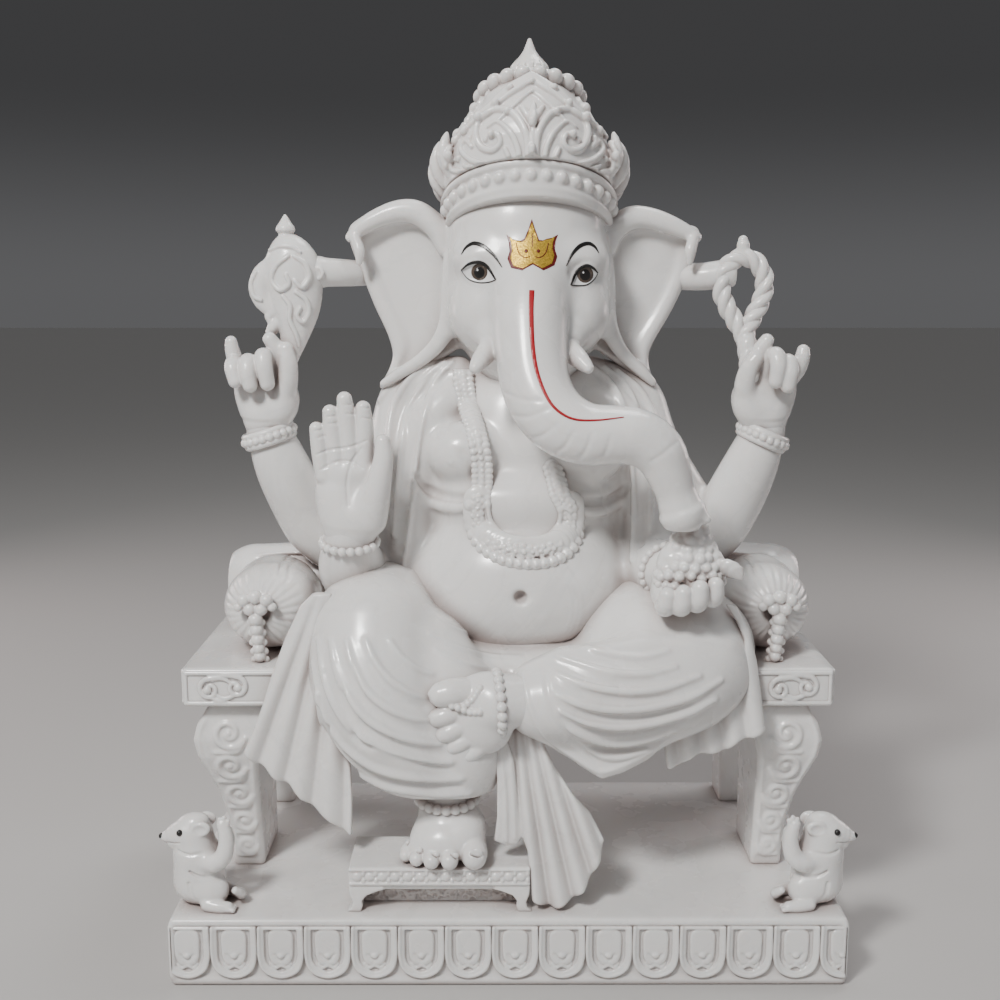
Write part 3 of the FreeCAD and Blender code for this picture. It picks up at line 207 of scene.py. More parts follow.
class Clay:
    tilt = 0.0
    """A block of marble to carve: a grid of signed distances in millimetres."""

    def __init__(s, lo, hi, h, labels=False):
        s.h = h = h * Q
        s.lo = A(lo, float)
        s.n = (np.ceil((A(hi, float) - s.lo) / h).astype(int) + 1)
        s.ax = [(s.lo[i] + h * np.arange(s.n[i])).astype(F32) for i in range(3)]
        s.f = np.full(s.n, 25.0, F32)
        s.lab = np.zeros(s.n, np.int8) if labels else None
        s.cur = 0

    def win(s, lo, hi):
        sl = []
        for i in range(3):
            a = max(0, int(math.floor((lo[i] - s.lo[i]) / s.h)))
            b = min(int(s.n[i]), int(math.ceil((hi[i] - s.lo[i]) / s.h)) + 1)
            if b <= a:
                return None
            sl.append(slice(a, b))
        return tuple(sl), s.ax[0][sl[0]][:, None, None], s.ax[1][sl[1]][None, :, None], s.ax[2][sl[2]][None, None, :]

    def put(s, sl, d, k=0.0, op="add"):
        f = s.f[sl]
        if op == "add":
            if s.lab is not None:
                s.lab[sl][d < f] = s.cur
            s.f[sl] = smin(f, d, k)
        elif op == "cut":
            s.f[sl] = -smin(-f, d, k)
        elif op == "keep":
            s.f[sl] = -smin(-f, -d, k)

    def egg(s, c, r, k=0.0, op="add", rot=None):
        c, r = A(c, float), A(r, float) * np.ones(3)
        p = r.max() * (1 if rot is None else 1) + k + 3 * s.h
        ext = (r if rot is None else np.ones(3) * r.max()) + k + 3 * s.h
        w = s.win(c - ext, c + ext)
        if not w:
            return
        sl, X, Y, Z = w
        x, y, z = X - c[0], Y - c[1], Z - c[2]
        if rot is not None:
            R = A(rot, float)
            x, y, z = [R[i][0] * x + R[i][1] * y + R[i][2] * z for i in range(3)]
        x, y, z = x / r[0], y / r[1], z / r[2]
        k0 = np.sqrt(x * x + y * y + z * z)
        k1 = np.sqrt((x / r[0]) ** 2 + (y / r[1]) ** 2 + (z / r[2]) ** 2) + 1e-6
        s.put(sl, (k0 * (k0 - 1) / k1).astype(F32), k, op)

    def tube(s, pts, k=0.0, op="add", step=None, flat=None, smooth=True, pad=0):
        """A rod along (x, y, z, r) points. flat = (nx, ny, nz, q) thins it along that direction."""
        P = A(pts, float)
        if smooth and len(P) > 2:
            P = spline(P, step=step or 4.0)
        P[:, 3] = np.maximum(P[:, 3], 0.05)
        e = P[:, 3].max() + k + 3 * s.h + pad
        w = s.win(P[:, :3].min(0) - e, P[:, :3].max(0) + e)
        if not w:
            return
        sl, X, Y, Z = w
        shape = s.f[sl].shape
        D = np.full(shape, 25.0, F32)
        o = [q.start for q in sl]
        for a, b in zip(P[:-1], P[1:]):
            ee = max(a[3], b[3]) + k + 3 * s.h + pad
            ww = s.win(np.minimum(a[:3], b[:3]) - ee, np.maximum(a[:3], b[:3]) + ee)
            if not ww:
                continue
            s2, x, y, z = ww
            loc = tuple(slice(q.start - o[i], q.stop - o[i]) for i, q in enumerate(s2))
            ab = b[:3] - a[:3]
            L = float(ab @ ab) + 1e-9
            px, py, pz = x - F32(a[0]), y - F32(a[1]), z - F32(a[2])
            t = np.clip((px * F32(ab[0]) + py * F32(ab[1]) + pz * F32(ab[2])) / F32(L), 0, 1)
            dx, dy, dz = px - t * F32(ab[0]), py - t * F32(ab[1]), pz - t * F32(ab[2])
            if flat is not None:
                n, q = A(flat[:3], float), flat[3]
                n = n / np.linalg.norm(n)
                g = dx * F32(n[0]) + dy * F32(n[1]) + dz * F32(n[2])
                m2 = dx * dx + dy * dy + dz * dz - g * g + (g / F32(q)) ** 2
                R = F32(a[3]) + t * F32(b[3] - a[3])
                dd = np.sqrt(np.maximum(m2, 0))
                d = (dd - R) * (q + (1 - q) * np.clip(1 - np.abs(g) / (R * q + 1e-3), 0, 1))
            else:
                d = np.sqrt(dx * dx + dy * dy + dz * dz) - (F32(a[3]) + t * F32(b[3] - a[3]))
            D[loc] = np.minimum(D[loc], d)
        s.put(sl, D, k, op)

    def lathe(s, c, prof, k=0.0, op="add", lobes=0, depth=0.0):
        """A turned form about the upright axis through c; prof is a closed (radius, z) outline."""
        P = A(prof, float)
        rm = P[:, 0].max() + abs(depth) + k + 3 * s.h
        w = s.win((c[0] - rm, c[1] - rm, P[:, 1].min() - k - 3 * s.h), (c[0] + rm, c[1] + rm, P[:, 1].max() + k + 3 * s.h))
        if not w:
            return
        sl, X, Y, Z = w
        R = np.sqrt((X - c[0]) ** 2 + (Y - c[1]) ** 2)
        if lobes:
            R = R - depth * np.cos(lobes * np.arctan2(Y - c[1], X - c[0]))
        s.put(sl, poly2(R.astype(F32), Z, P).astype(F32), k, op)

    def plate(s, outline, ymid, half, k=0.0, op="add", rnd=1.5, wrap=None):
        """A sheet of stone with an outline in X and Z; ymid and half are numbers or functions of X and Z."""
        P = A(outline, float)
        e = k + 3 * s.h + rnd
        w = s.win((P[:, 0].min() - e, s.lo[1], P[:, 1].min() - e), (P[:, 0].max() + e, s.lo[1] + s.h * s.n[1], P[:, 1].max() + e))
        if not w:
            return
        sl, X, Y, Z = w
        d2 = poly2(X, Z, P) + rnd
        y0 = ymid(X, Z) if callable(ymid) else ymid
        t = half(X, Z) if callable(half) else half
        q = np.abs(Y - y0) - t + rnd
        d = np.minimum(np.maximum(d2, q), 0) + np.hypot(np.maximum(d2, 0), np.maximum(q, 0)) - rnd
        s.put(sl, d.astype(F32), k, op)

    def box(s, lo, hi, rnd=1.0, k=0.0, op="add"):
        lo, hi = A(lo, float), A(hi, float)
        e = k + 3 * s.h
        w = s.win(lo - e, hi + e)
        if not w:
            return
        sl, X, Y, Z = w
        c, b = (lo + hi) / 2, (hi - lo) / 2 - rnd
        qx, qy, qz = np.abs(X - c[0]) - b[0], np.abs(Y - c[1]) - b[1], np.abs(Z - c[2]) - b[2]
        d = np.sqrt(np.maximum(qx, 0) ** 2 + np.maximum(qy, 0) ** 2 + np.maximum(qz, 0) ** 2) + np.minimum(np.maximum(np.maximum(qx, qy), qz), 0) - rnd
        s.put(sl, d.astype(F32), k, op)

    def half(s, p, n, k=0.0, op="keep"):
        """Keeps the side of a plane that n points away from."""
        n = A(n, float) / np.linalg.norm(n)
        X, Y, Z = s.ax[0][:, None, None], s.ax[1][None, :, None], s.ax[2][None, None, :]
        d = (X - p[0]) * n[0] + (Y - p[1]) * n[1] + (Z - p[2]) * n[2]
        s.put((slice(None),) * 3, d.astype(F32), k, op)

    def sample(s, P):
        g = (P - s.lo) / s.h
        g = np.clip(g, 0, s.n - 1.001)
        i = g.astype(int)
        t = g - i
        v = 0
        for a in (0, 1):
            for b in (0, 1):
                for c in (0, 1):
                    wt = (t[:, 0] if a else 1 - t[:, 0]) * (t[:, 1] if b else 1 - t[:, 1]) * (t[:, 2] if c else 1 - t[:, 2])
                    v = v + wt * s.f[i[:, 0] + a, i[:, 1] + b, i[:, 2] + c]
        return v

    def hit(s, u, v):
        """First surface point seen at (u, v), or None."""
        d, eye = ray(u, v), CAM + A([0, 0, s.tilt * CAM[1]])
        d = d + A([0, 0, s.tilt * d[1]])
        t0 = (s.lo[1] - CAM[1]) / d[1]
        t1 = (s.lo[1] + s.h * (s.n[1] - 1) - CAM[1]) / d[1]
        T = np.arange(t0, t1, s.h * 0.7)
        P = eye + d * T[:, None]
        ok = np.all((P > s.lo) & (P < s.lo + s.h * (s.n - 1)), axis=1)
        if not ok.any():
            return None
        val = np.full(len(T), 9.0)
        val[ok] = s.sample(P[ok])
        neg = np.nonzero(val < 0)[0]
        if not len(neg) or neg[0] == 0:
            return None
        i = neg[0]
        f = val[i - 1] / (val[i - 1] - val[i] + 1e-9)
        return eye + d * (T[i - 1] + f * (T[i] - T[i - 1]))

    def back(s, x, z):
        """First surface point met from behind at X and Z, or None."""
        Y = np.arange(s.lo[1] + s.h * (s.n[1] - 3), s.lo[1] + 2 * s.h, -s.h * 0.7)
        P = np.c_[np.full(len(Y), x), Y, np.full(len(Y), z)]
        neg = np.nonzero(s.sample(P) < 0)[0]
        return P[neg[0]] if len(neg) and neg[0] > 0 else None

    def trace(s, uvr, k=1.0, op="add", lift=0.0, step=2.2, jump=14.0):
        """Lays a rod, or carves a groove, on the surface along a line seen by the camera: (u, v, r mm)."""
        S = spline(uvr, step=step) if len(uvr) > 2 else spline([uvr[0], (A(uvr[0]) + A(uvr[1])) / 2, uvr[1]], step=step)
        runs, cur = [], []
        for u, v, r in S:
            p = s.hit(u, v)
            if p is None or (cur and np.linalg.norm(p - cur[-1][:3]) > jump):
                if len(cur) > 1:
                    runs.append(cur)
                cur = []
            if p is not None:
                p = p - ray(u, v) * lift
                cur.append(A([p[0], p[1], p[2], r]))
        if len(cur) > 1:
            runs.append(cur)
        for c in runs:
            s.tube(c, k, op, smooth=False)

    def beads(s, pts, r, gap, k=0.4, squash=1.0):
        """A string of beads along a path."""
        S = spline([p[:3] for p in pts], step=0.5)
        L = np.r_[0, np.cumsum(np.linalg.norm(np.diff(S, axis=0), axis=1))]
        n = max(1, int(round(L[-1] / gap)))
        for t in np.linspace(0, L[-1], n + 1):
            c = A([np.interp(t, L, S[:, i]) for i in range(3)])
            s.egg(c, (r, r, r * squash), k)

    def soft(s, n=1):
        for _ in range(n):
            for ax in range(3):
                g = s.f
                a = [slice(None)] * 3
                b = [slice(None)] * 3
                c = [slice(None)] * 3
                a[ax], b[ax], c[ax] = slice(0, -2), slice(1, -1), slice(2, None)
                m = g.copy()
                m[tuple(b)] = 0.25 * g[tuple(a)] + 0.5 * g[tuple(b)] + 0.25 * g[tuple(c)]
                s.f = m

    def seal(s):
        """Keeps the form closed at the block's own walls."""
        for ax in range(3):
            for e in (0, -1):
                i = [slice(None)] * 3
                i[ax] = e
                s.f[tuple(i)] = np.maximum(s.f[tuple(i)], 0.5)

    def polys(s, adapt=0.0):
        s.seal()
        g = vdb.FloatGrid()
        g.background = 25.0
        g.copyFromArray(s.f, tolerance=0.0)
        pts, tris, quads = g.convertToPolygons(isovalue=0.0, adaptivity=adapt)
        pts = pts * s.h + s.lo
        return pts, tris, quads


def flip_if_needed(me):
    """Faces point out of the stone."""
    me.calc_loop_triangles()
    n = len(me.loop_triangles)
    tv = np.zeros(n * 3, np.int32)
    me.loop_triangles.foreach_get("vertices", tv)
    co = np.zeros(len(me.vertices) * 3, F32)
    me.vertices.foreach_get("co", co)
    co = co.reshape(-1, 3).astype(float)
    t = co[tv.reshape(-1, 3)]
    vol = np.einsum("ij,ij->i", t[:, 0], np.cross(t[:, 1], t[:, 2])).sum()
    if vol < 0:
        me.flip_normals()
    return abs(vol) / 6


def new_mesh(name, pts, tris, quads):
    me = bpy.data.meshes.new(name)
    nt, nq = len(tris), len(quads)
    me.vertices.add(len(pts))
    me.vertices.foreach_set("co", (A(pts) / 1000.0).astype(F32).ravel())
    loops = np.concatenate([A(quads, np.int32).ravel() if nq else np.zeros(0, np.int32), A(tris, np.int32).ravel() if nt else np.zeros(0, np.int32)])
    me.loops.add(len(loops))
    me.loops.foreach_set("vertex_index", loops)
    me.polygons.add(nt + nq)
    start = np.concatenate([np.arange(nq) * 4, nq * 4 + np.arange(nt) * 3]).astype(np.int32)
    tot = np.concatenate([np.full(nq, 4), np.full(nt, 3)]).astype(np.int32)
    me.polygons.foreach_set("loop_start", start)
    me.polygons.foreach_set("loop_total", tot)
    me.polygons.foreach_set("use_smooth", np.ones(nt + nq, bool))
    me.update(calc_edges=True)
    me.validate()
    return me


PIECES = []


def show(me, name, nodes, mats, slot="marble"):
    ob = bpy.data.objects.new(name, me)
    bpy.context.scene.collection.objects.link(ob)
    for m in mats if isinstance(mats, list) else [mats]:
        me.materials.append(m)
    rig.ride(ob, "root")
    if nodes:
        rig.replaces(ob, *([nodes] if isinstance(nodes, str) else nodes))
    if slot:
        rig.slot(ob, slot)
    PIECES.append(ob)
    return ob


def finish_clay(c, name, nodes, mat, adapt=0.0, soft=1):
    c.soft(soft)
    me = new_mesh(name, *c.polys(adapt))
    flip_if_needed(me)
    ob = show(me, name, nodes, mat)
    print("piece", name, len(me.polygons))
    return ob


def split_clay(c, parts, mat, soft=1):
    """One carved form shown as named pieces that meet in the same points: parts maps label to (name, nodes)."""
    c.soft(soft)
    pts, tris, quads = c.polys(0.0)
    g = np.clip(np.rint((pts - c.lo) / c.h).astype(int), 0, c.n - 1)
    vl = c.lab[g[:, 0], g[:, 1], g[:, 2]]
    ql = np.sort(vl[quads], axis=1)[:, 1]
    whole = new_mesh("whole", pts, tris, quads)
    flipped = flip_test(whole)
    if flipped:
        quads = quads[:, ::-1]
        tris = tris[:, ::-1] if len(tris) else tris
        whole.flip_normals()
    vn = np.zeros(len(whole.vertices) * 3, F32)
    whole.vertices.foreach_get("normal", vn)
    vn = vn.reshape(-1, 3)
    for lab, (name, nodes) in parts.items():
        q = quads[ql == lab]
        if not len(q):
            print("nothing labelled", name)
            continue
        used, inv = np.unique(q, return_inverse=True)
        me = new_mesh(name, pts[used], [], inv.reshape(-1, 4))
        me.normals_split_custom_set_from_vertices([tuple(x) for x in vn[used].tolist()])
        show(me, name, nodes, mat)
        print("piece", name, len(me.polygons))
    bpy.data.meshes.remove(whole)


def flip_test(me):
    me.calc_loop_triangles()
    n = len(me.loop_triangles)
    tv = np.zeros(n * 3, np.int32)
    me.loop_triangles.foreach_get("vertices", tv)
    co = np.zeros(len(me.vertices) * 3, F32)
    me.vertices.foreach_get("co", co)
    t = co.reshape(-1, 3).astype(float)[tv.reshape(-1, 3)]
    return np.einsum("ij,ij->i", t[:, 0], np.cross(t[:, 1], t[:, 2])).sum() < 0


# ------------------------------------------------------------------ materials
def marble(name="marble"):
    m = bpy.data.materials.new(name)
    m.use_nodes = True
    nt = m.node_tree
    N, L = nt.nodes, nt.links
    b = N["Principled BSDF"]
    tc = N.new("ShaderNodeTexCoord")
    n1 = N.new("ShaderNodeTexNoise")
    n1.inputs["Scale"].default_value = 9.0
    n1.inputs["Detail"].default_value = 5.0
    n1.inputs["Distortion"].default_value = 1.2
    L.new(tc.outputs["Object"], n1.inputs["Vector"])
    r1 = N.new("ShaderNodeValToRGB")
    r1.color_ramp.elements[0].position = 0.30
    r1.color_ramp.elements[0].color = (0.800, 0.785, 0.770, 1)
    r1.color_ramp.elements[1].position = 0.72
    r1.color_ramp.elements[1].color = (0.870, 0.862, 0.850, 1)
    L.new(n1.outputs["Fac"], r1.inputs["Fac"])
    # faint grey veins
    n2 = N.new("ShaderNodeTexNoise")
    n2.inputs["Scale"].default_value = 5.0
    n2.inputs["Detail"].default_value = 8.0
    n2.inputs["Distortion"].default_value = 2.5
    L.new(tc.outputs["Object"], n2.inputs["Vector"])
    r2 = N.new("ShaderNodeValToRGB")
    e = r2.color_ramp.elements
    e[0].position, e[0].color = 0.475, (1, 1, 1, 1)
    e[1].position, e[1].color = 0.525, (1, 1, 1, 1)
    v = e.new(0.5)
    v.color = (0.955, 0.955, 0.957, 1)
    L.new(n2.outputs["Fac"], r2.inputs["Fac"])
    mx = N.new("ShaderNodeMix")
    mx.data_type = "RGBA"
    mx.blend_type = "MULTIPLY"
    mx.inputs[0].default_value = 1.0
    L.new(r1.outputs["Color"], mx.inputs[6])
    L.new(r2.outputs["Color"], mx.inputs[7])
    # painted shade: the base colour turns darker and pinkish where the carving is occluded (ambient occlusion),
    # standing for the shade in the hollows as well as dust settled in them
    ao = N.new("ShaderNodeAmbientOcclusion")
    ao.inputs["Distance"].default_value = 0.016
    ao.samples = 6
    rc = N.new("ShaderNodeValToRGB")
    rc.color_ramp.elements[0].position = 0.25
    rc.color_ramp.elements[0].color = (0.52, 0.445, 0.43, 1)
    rc.color_ramp.elements[1].position = 0.85
    rc.color_ramp.elements[1].color = (1, 1, 1, 1)
    L.new(ao.outputs["AO"], rc.inputs["Fac"])
    m2 = N.new("ShaderNodeMix")
    m2.data_type = "RGBA"
    m2.blend_type = "MULTIPLY"
    m2.inputs[0].default_value = 0.9
    L.new(mx.outputs[2], m2.inputs[6])
    L.new(rc.outputs["Color"], m2.inputs[7])
    L.new(m2.outputs[2], b.inputs["Base Color"])
    # hand polish: a little variation in gloss and a very fine unevenness
    n3 = N.new("ShaderNodeTexNoise")
    n3.inputs["Scale"].default_value = 38.0
    n3.inputs["Detail"].default_value = 4.0
    L.new(tc.outputs["Object"], n3.inputs["Vector"])
    mr = N.new("ShaderNodeMapRange")
    mr.inputs["From Min"].default_value = 0.3
    mr.inputs["From Max"].default_value = 0.7
    mr.inputs["To Min"].default_value = 0.20
    mr.inputs["To Max"].default_value = 0.33
    L.new(n3.outputs["Fac"], mr.inputs["Value"])
    L.new(mr.outputs["Result"], b.inputs["Roughness"])
    n4 = N.new("ShaderNodeTexNoise")
    n4.inputs["Scale"].default_value = 120.0
    n4.inputs["Detail"].default_value = 3.0
    L.new(tc.outputs["Object"], n4.inputs["Vector"])
    bp = N.new("ShaderNodeBump")
    bp.inputs["Strength"].default_value = 0.10
    bp.inputs["Distance"].default_value = 0.0006
    L.new(n4.outputs["Fac"], bp.inputs["Height"])
    L.new(bp.outputs["Normal"], b.inputs["Normal"])
    b.inputs["Subsurface Weight"].default_value = 0.18
    b.inputs["Subsurface Radius"].default_value = (0.0045, 0.0032, 0.0026)
    b.inputs["Subsurface Scale"].default_value = 1.0
    b.inputs["IOR"].default_value = 1.5
    b.inputs["Coat Weight"].default_value = 0.25
    b.inputs["Coat Roughness"].default_value = 0.12
    return m


def paint(name, color, rough=0.35, metal=0.0, speckle=0.0, bump=0.0):
    m = bpy.data.materials.new(name)
    m.use_nodes = True
    nt = m.node_tree
    N, L = nt.nodes, nt.links
    b = N["Principled BSDF"]
    tc = N.new("ShaderNodeTexCoord")
    n = N.new("ShaderNodeTexNoise")
    n.inputs["Scale"].default_value = 900.0
    n.inputs["Detail"].default_value = 3.0
    L.new(tc.outputs["Object"], n.inputs["Vector"])
    r = N.new("ShaderNodeValToRGB")
    c = A(color)
    r.color_ramp.elements[0].position, r.color_ramp.elements[1].position = 0.3, 0.7
    r.color_ramp.elements[0].color = tuple(c * (1 - speckle)) + (1,)
    r.color_ramp.elements[1].color = tuple(np.minimum(c * (1 + speckle), 1)) + (1,)
    L.new(n.outputs["Fac"], r.inputs["Fac"])
    L.new(r.outputs["Color"], b.inputs["Base Color"])
    b.inputs["Roughness"].default_value = rough
    b.inputs["Metallic"].default_value = metal
    if bump:
        bp = N.new("ShaderNodeBump")
        bp.inputs["Strength"].default_value = bump
        bp.inputs["Distance"].default_value = 0.0003
        L.new(n.outputs["Fac"], bp.inputs["Height"])
        L.new(bp.outputs["Normal"], b.inputs["Normal"])
    return m


MARBLE = marble()
GOLD = paint("gold_paint", (0.62, 0.40, 0.05), 0.42, 0.55, 0.35, 0.8)
MAROON = paint("maroon_paint", (0.13, 0.012, 0.012), 0.35, 0, 0.1)
RED = paint("red_paint", (0.36, 0.010, 0.016), 0.3, 0, 0.08)
BLACK = paint("black_paint", (0.012, 0.011, 0.011), 0.3, 0, 0.1)
IRIS = paint("iris_paint", (0.085, 0.062, 0.048), 0.3, 0, 0.25)
WHITE = paint("white_paint", (0.82, 0.82, 0.82), 0.3, 0, 0.02)


def decal(clay, name, outline, mat, lift=0.22, cell=1.6, holes=()):
    """A film of paint on the stone: an outline seen by the camera, laid on the surface, with a thickness of 0.3 mm."""
    pts = [Vector((u, v)) for u, v in outline]
    n = len(pts)
    lo = A(outline).min(0)
    hi = A(outline).max(0)
    for a in np.arange(lo[0] + cell / 2, hi[0], cell):
        for b_ in np.arange(lo[1] + cell / 2, hi[1], cell):
            pts.append(Vector((float(a), float(b_))))
    edges = [(i, (i + 1) % n) for i in range(n)]
    v2, e2, f2, ov, oe, of = geometry.delaunay_2d_cdt(pts, edges, [], 1, 1e-4)
    # triangles inside the outline only
    O = A(outline, float)
    tri = []
    for f in f2:
        c = sum((A(v2[i][:]) for i in f), A([0.0, 0.0])) / len(f)
        if poly2(A([[c[0]]], F32), A([[c[1]]], F32), O)[0, 0] < 0:
            tri.append(list(f))
    used = sorted({i for f in tri for i in f})
    idx = {o: i for i, o in enumerate(used)}
    P = []
    for i in used:
        h = clay.hit(v2[i][0], v2[i][1])
        if h is None:
            h = at(v2[i][0], v2[i][1], -40)
        P.append(h)
    P = A(P)
    D = A([ray(v2[i][0], v2[i][1]) for i in used])
    top, bot = P - D * lift, P + D * 0.25
    tri = [[idx[i] for i in f] for f in tri]
    m = len(used)
    count = {}
    for f in tri:
        for a, b_ in zip(f, f[1:] + f[:1]):
            count[(a, b_)] = 1
    rim = [(a, b_) for (a, b_) in count if (b_, a) not in count]
    faces = [f for f in tri] + [[i + m for i in f[::-1]] for f in tri] + [[b_, a, a + m, b_ + m] for a, b_ in rim]
    me = bpy.data.meshes.new(name)
    me.from_pydata([tuple(p / 1000) for p in np.vstack([top, bot])], [], faces)
    me.update()
    if flip_test(me):
        me.flip_normals()
    for p in me.polygons:
        p.use_smooth = True
    me.validate()
    return show(me, name, None, mat, slot=None)


def stroke(pts):
    """Outline of a brush line through (u, v, half width) points."""
    S = spline(pts, step=1.2)
    T = np.gradient(S[:, :2], axis=0)
    T /= np.linalg.norm(T, axis=1)[:, None] + 1e-9
    Nn = np.c_[-T[:, 1], T[:, 0]]
    a = S[:, :2] + Nn * S[:, 2:3]
    b = S[:, :2] - Nn * S[:, 2:3]
    return [tuple(p) for p in a] + [tuple(p) for p in b[::-1]]


def oval(cx, cy, rx, ry, n=28):
    return [(cx + rx * math.cos(2 * math.pi * i / n), cy + ry * math.sin(2 * math.pi * i / n)) for i in range(n)]



# ================================================================== plinth: slab and lotus petals
def cube_mesh(name, lo, hi, bevel, nodes, mat):
    import bmesh
    bm = bmesh.new()
    bmesh.ops.create_cube(bm, size=1.0)
    lo, hi = A(lo, float) / 1000, A(hi, float) / 1000
    for v in bm.verts:
        v.co = Vector([lo[i] + (v.co[i] + 0.5) * (hi[i] - lo[i]) for i in range(3)])
    bmesh.ops.bevel(bm, geom=bm.edges[:], offset=bevel / 1000, segments=4, profile=0.6, affect="EDGES")
    me = bpy.data.meshes.new(name)
    bm.to_mesh(me)
    bm.free()
    for p in me.polygons:
        p.use_smooth = True
    me.set_sharp_from_angle(angle=math.radians(40))
    return show(me, name, nodes, mat)


def petal_clay():
    """One petal panel, centred on X 0, standing on Z, its back at Y 0."""
    c = Clay((-15.2, -4.2, -1), (15.2, 2.5, 36), 0.55)
    w, top = 14.0, 34.5
    out = [(-w, top), (-w, 13), (-w + 1.2, 8.5), (-w + 4.2, 4.2), (-w + 8.5, 1.2), (0, 0.2), (w - 8.5, 1.2), (w - 4.2, 4.2), (w - 1.2, 8.5), (w, 13), (w, top)]
    inn = [(x * 0.72, top - 2.2 if z == top else z * 0.80 + 4.4) for x, z in out]
    c.plate(out, 0.3, 2.5, 0, rnd=1.5)
    c.plate(inn, -2.4, 2.6, 0.8, "cut", rnd=0.8)
    tongue = [(-6.6, top - 3.4), (-7.9, 20), (-7.0, 12.5), (-3.6, 8.6), (0, 9.6), (3.6, 8.6), (7.0, 12.5), (7.9, 20), (6.6, top - 3.4)]
    c.plate(spline(tongue, n=4, closed=True), 0.2, 2.1, 0.6, rnd=1.3)
    c.tube([(-4.2, -2.4, 16.0, 1.1), (0, -2.4, 12.4, 1.5), (4.2, -2.4, 16.0, 1.1)], 0.5, "cut")
    c.egg((0, -1.6, 15.2), (2.4, 1.4, 1.9), 0.4)
    # small curl at the tongue's foot and the wavy lip
    c.tube([(-6.4, -0.6, 9.6, 0.8), (-3.4, -0.8, 6.6, 1.0), (0, -1.0, 8.8, 1.1), (3.4, -0.8, 6.6, 1.0), (6.4, -0.6, 9.6, 0.8)], 0.7)
    c.tube([(-w + 0.9, -2.0, top - 1, 1.3), (-w + 0.9, -2.0, 14, 1.3), (-w + 4.6, -2.0, 5.0, 1.3), (0, -2.0, 1.4, 1.3), (w - 4.6, -2.0, 5.0, 1.3), (w - 0.9, -2.0, 14, 1.3), (w - 0.9, -2.0, top - 1, 1.3)], 0.8)
    c.soft(1)
    return c.polys(0.0)


def build_plinth():
    pts, tris, quads = petal_clay()
    P, T, Qd = [], [], []

    def place(x0, face, clip):
        p = pts.copy()
        p[:, 0] += x0
        p[:, 0] = np.clip(p[:, 0], -clip + 1.4, clip - 1.4)
        p[:, 2] += 5.0
        off = sum(len(a) for a in P)
        y = p[:, 1].copy()
        if face == "front":
            q = np.c_[p[:, 0], -108.2 + y, p[:, 2]]
        elif face == "back":
            q = np.c_[-p[:, 0], 108.2 - y, p[:, 2]]
        elif face == "left":
            q = np.c_[208.2 - y, p[:, 0], p[:, 2]]
        else:
            q = np.c_[-208.2 + y, -p[:, 0], p[:, 2]]
        P.append(q)
        Qd.append(quads + off)
        if len(tris):
            T.append(tris + off)

    for i in range(-7, 8):
        x = 4.0 + i * 29.0
        if abs(x) < 222:
            place(x, "front", 210)
            place(-x, "back", 210)
    for i in range(-3, 4):
        place(i * 29.0, "left", 110)
        place(i * 29.0, "right", 110)
    me = new_mesh("lotus_petals", np.vstack(P), np.vstack(T) if T else [], np.vstack(Qd))
    if flip_test(me):
        me.flip_normals()
    show(me, "lotus_petals", None, MARBLE)
    # slab: a sunk band between a top and a bottom fillet
    c = Clay((-214, -114, -0.5), (214, 114, 45), 1.25)
    c.box((-210, -110, 0), (210, 110, 44), 2.2)
    for lo, hi in (((-212, -114, 5.4), (212, -108.1, 39.6)), ((-212, 108.1, 5.4), (212, 114, 39.6)), ((-214, -112, 5.4), (-208.1, 112, 39.6)), ((208.1, -112, 5.4), (214, 112, 39.6))):
        c.box(lo, hi, 0.3, 0.6, "cut")
    # plain corner posts close the ends of the petal rows
    for sx in (-1, 1):
        for sy in (-1, 1):
            lo, hi = A([206.2 * sx, 106.2 * sy, 4.0]), A([210.6 * sx, 110.6 * sy, 41.0])
            c.box(np.minimum(lo, hi), np.maximum(lo, hi), 0.9)
    finish_clay(c, "plinth_slab", "plinth", MARBLE, 0.02, soft=1)


# ================================================================== throne
def scroll(c, P, x0, z0, size, flip, k=0.6, r=1.5):
    """A leafy S-scroll in relief; P maps (a, b) in the face to a point and its rod radius."""
    s = -1 if flip else 1
    spiral = []
    for i in range(22):
        t = i / 21.0
        a = math.pi * (0.5 + 2.6 * t)
        q = size * (0.92 - 0.74 * t)
        spiral.append(P(x0 + s * q * math.cos(a), z0 + q * math.sin(a), r * (1.0 - 0.35 * t)))
    c.tube(spiral, k, smooth=False)
    c.egg(spiral[-1][:3], r * 1.5, k)
    c.tube([P(x0, z0 + size * 0.9, r * 0.9), P(x0 + s * size * 0.9, z0 + size * 1.0, r), P(x0 + s * size * 1.9, z0 + size * 0.5, r * 0.5)], k)
    c.tube([P(x0, z0 - size * 0.6, r * 0.7), P(x0 + s * size * 0.9, z0 - size * 0.95, r * 0.9), P(x0 + s * size * 1.9, z0 - size * 0.5, r * 0.4)], k)


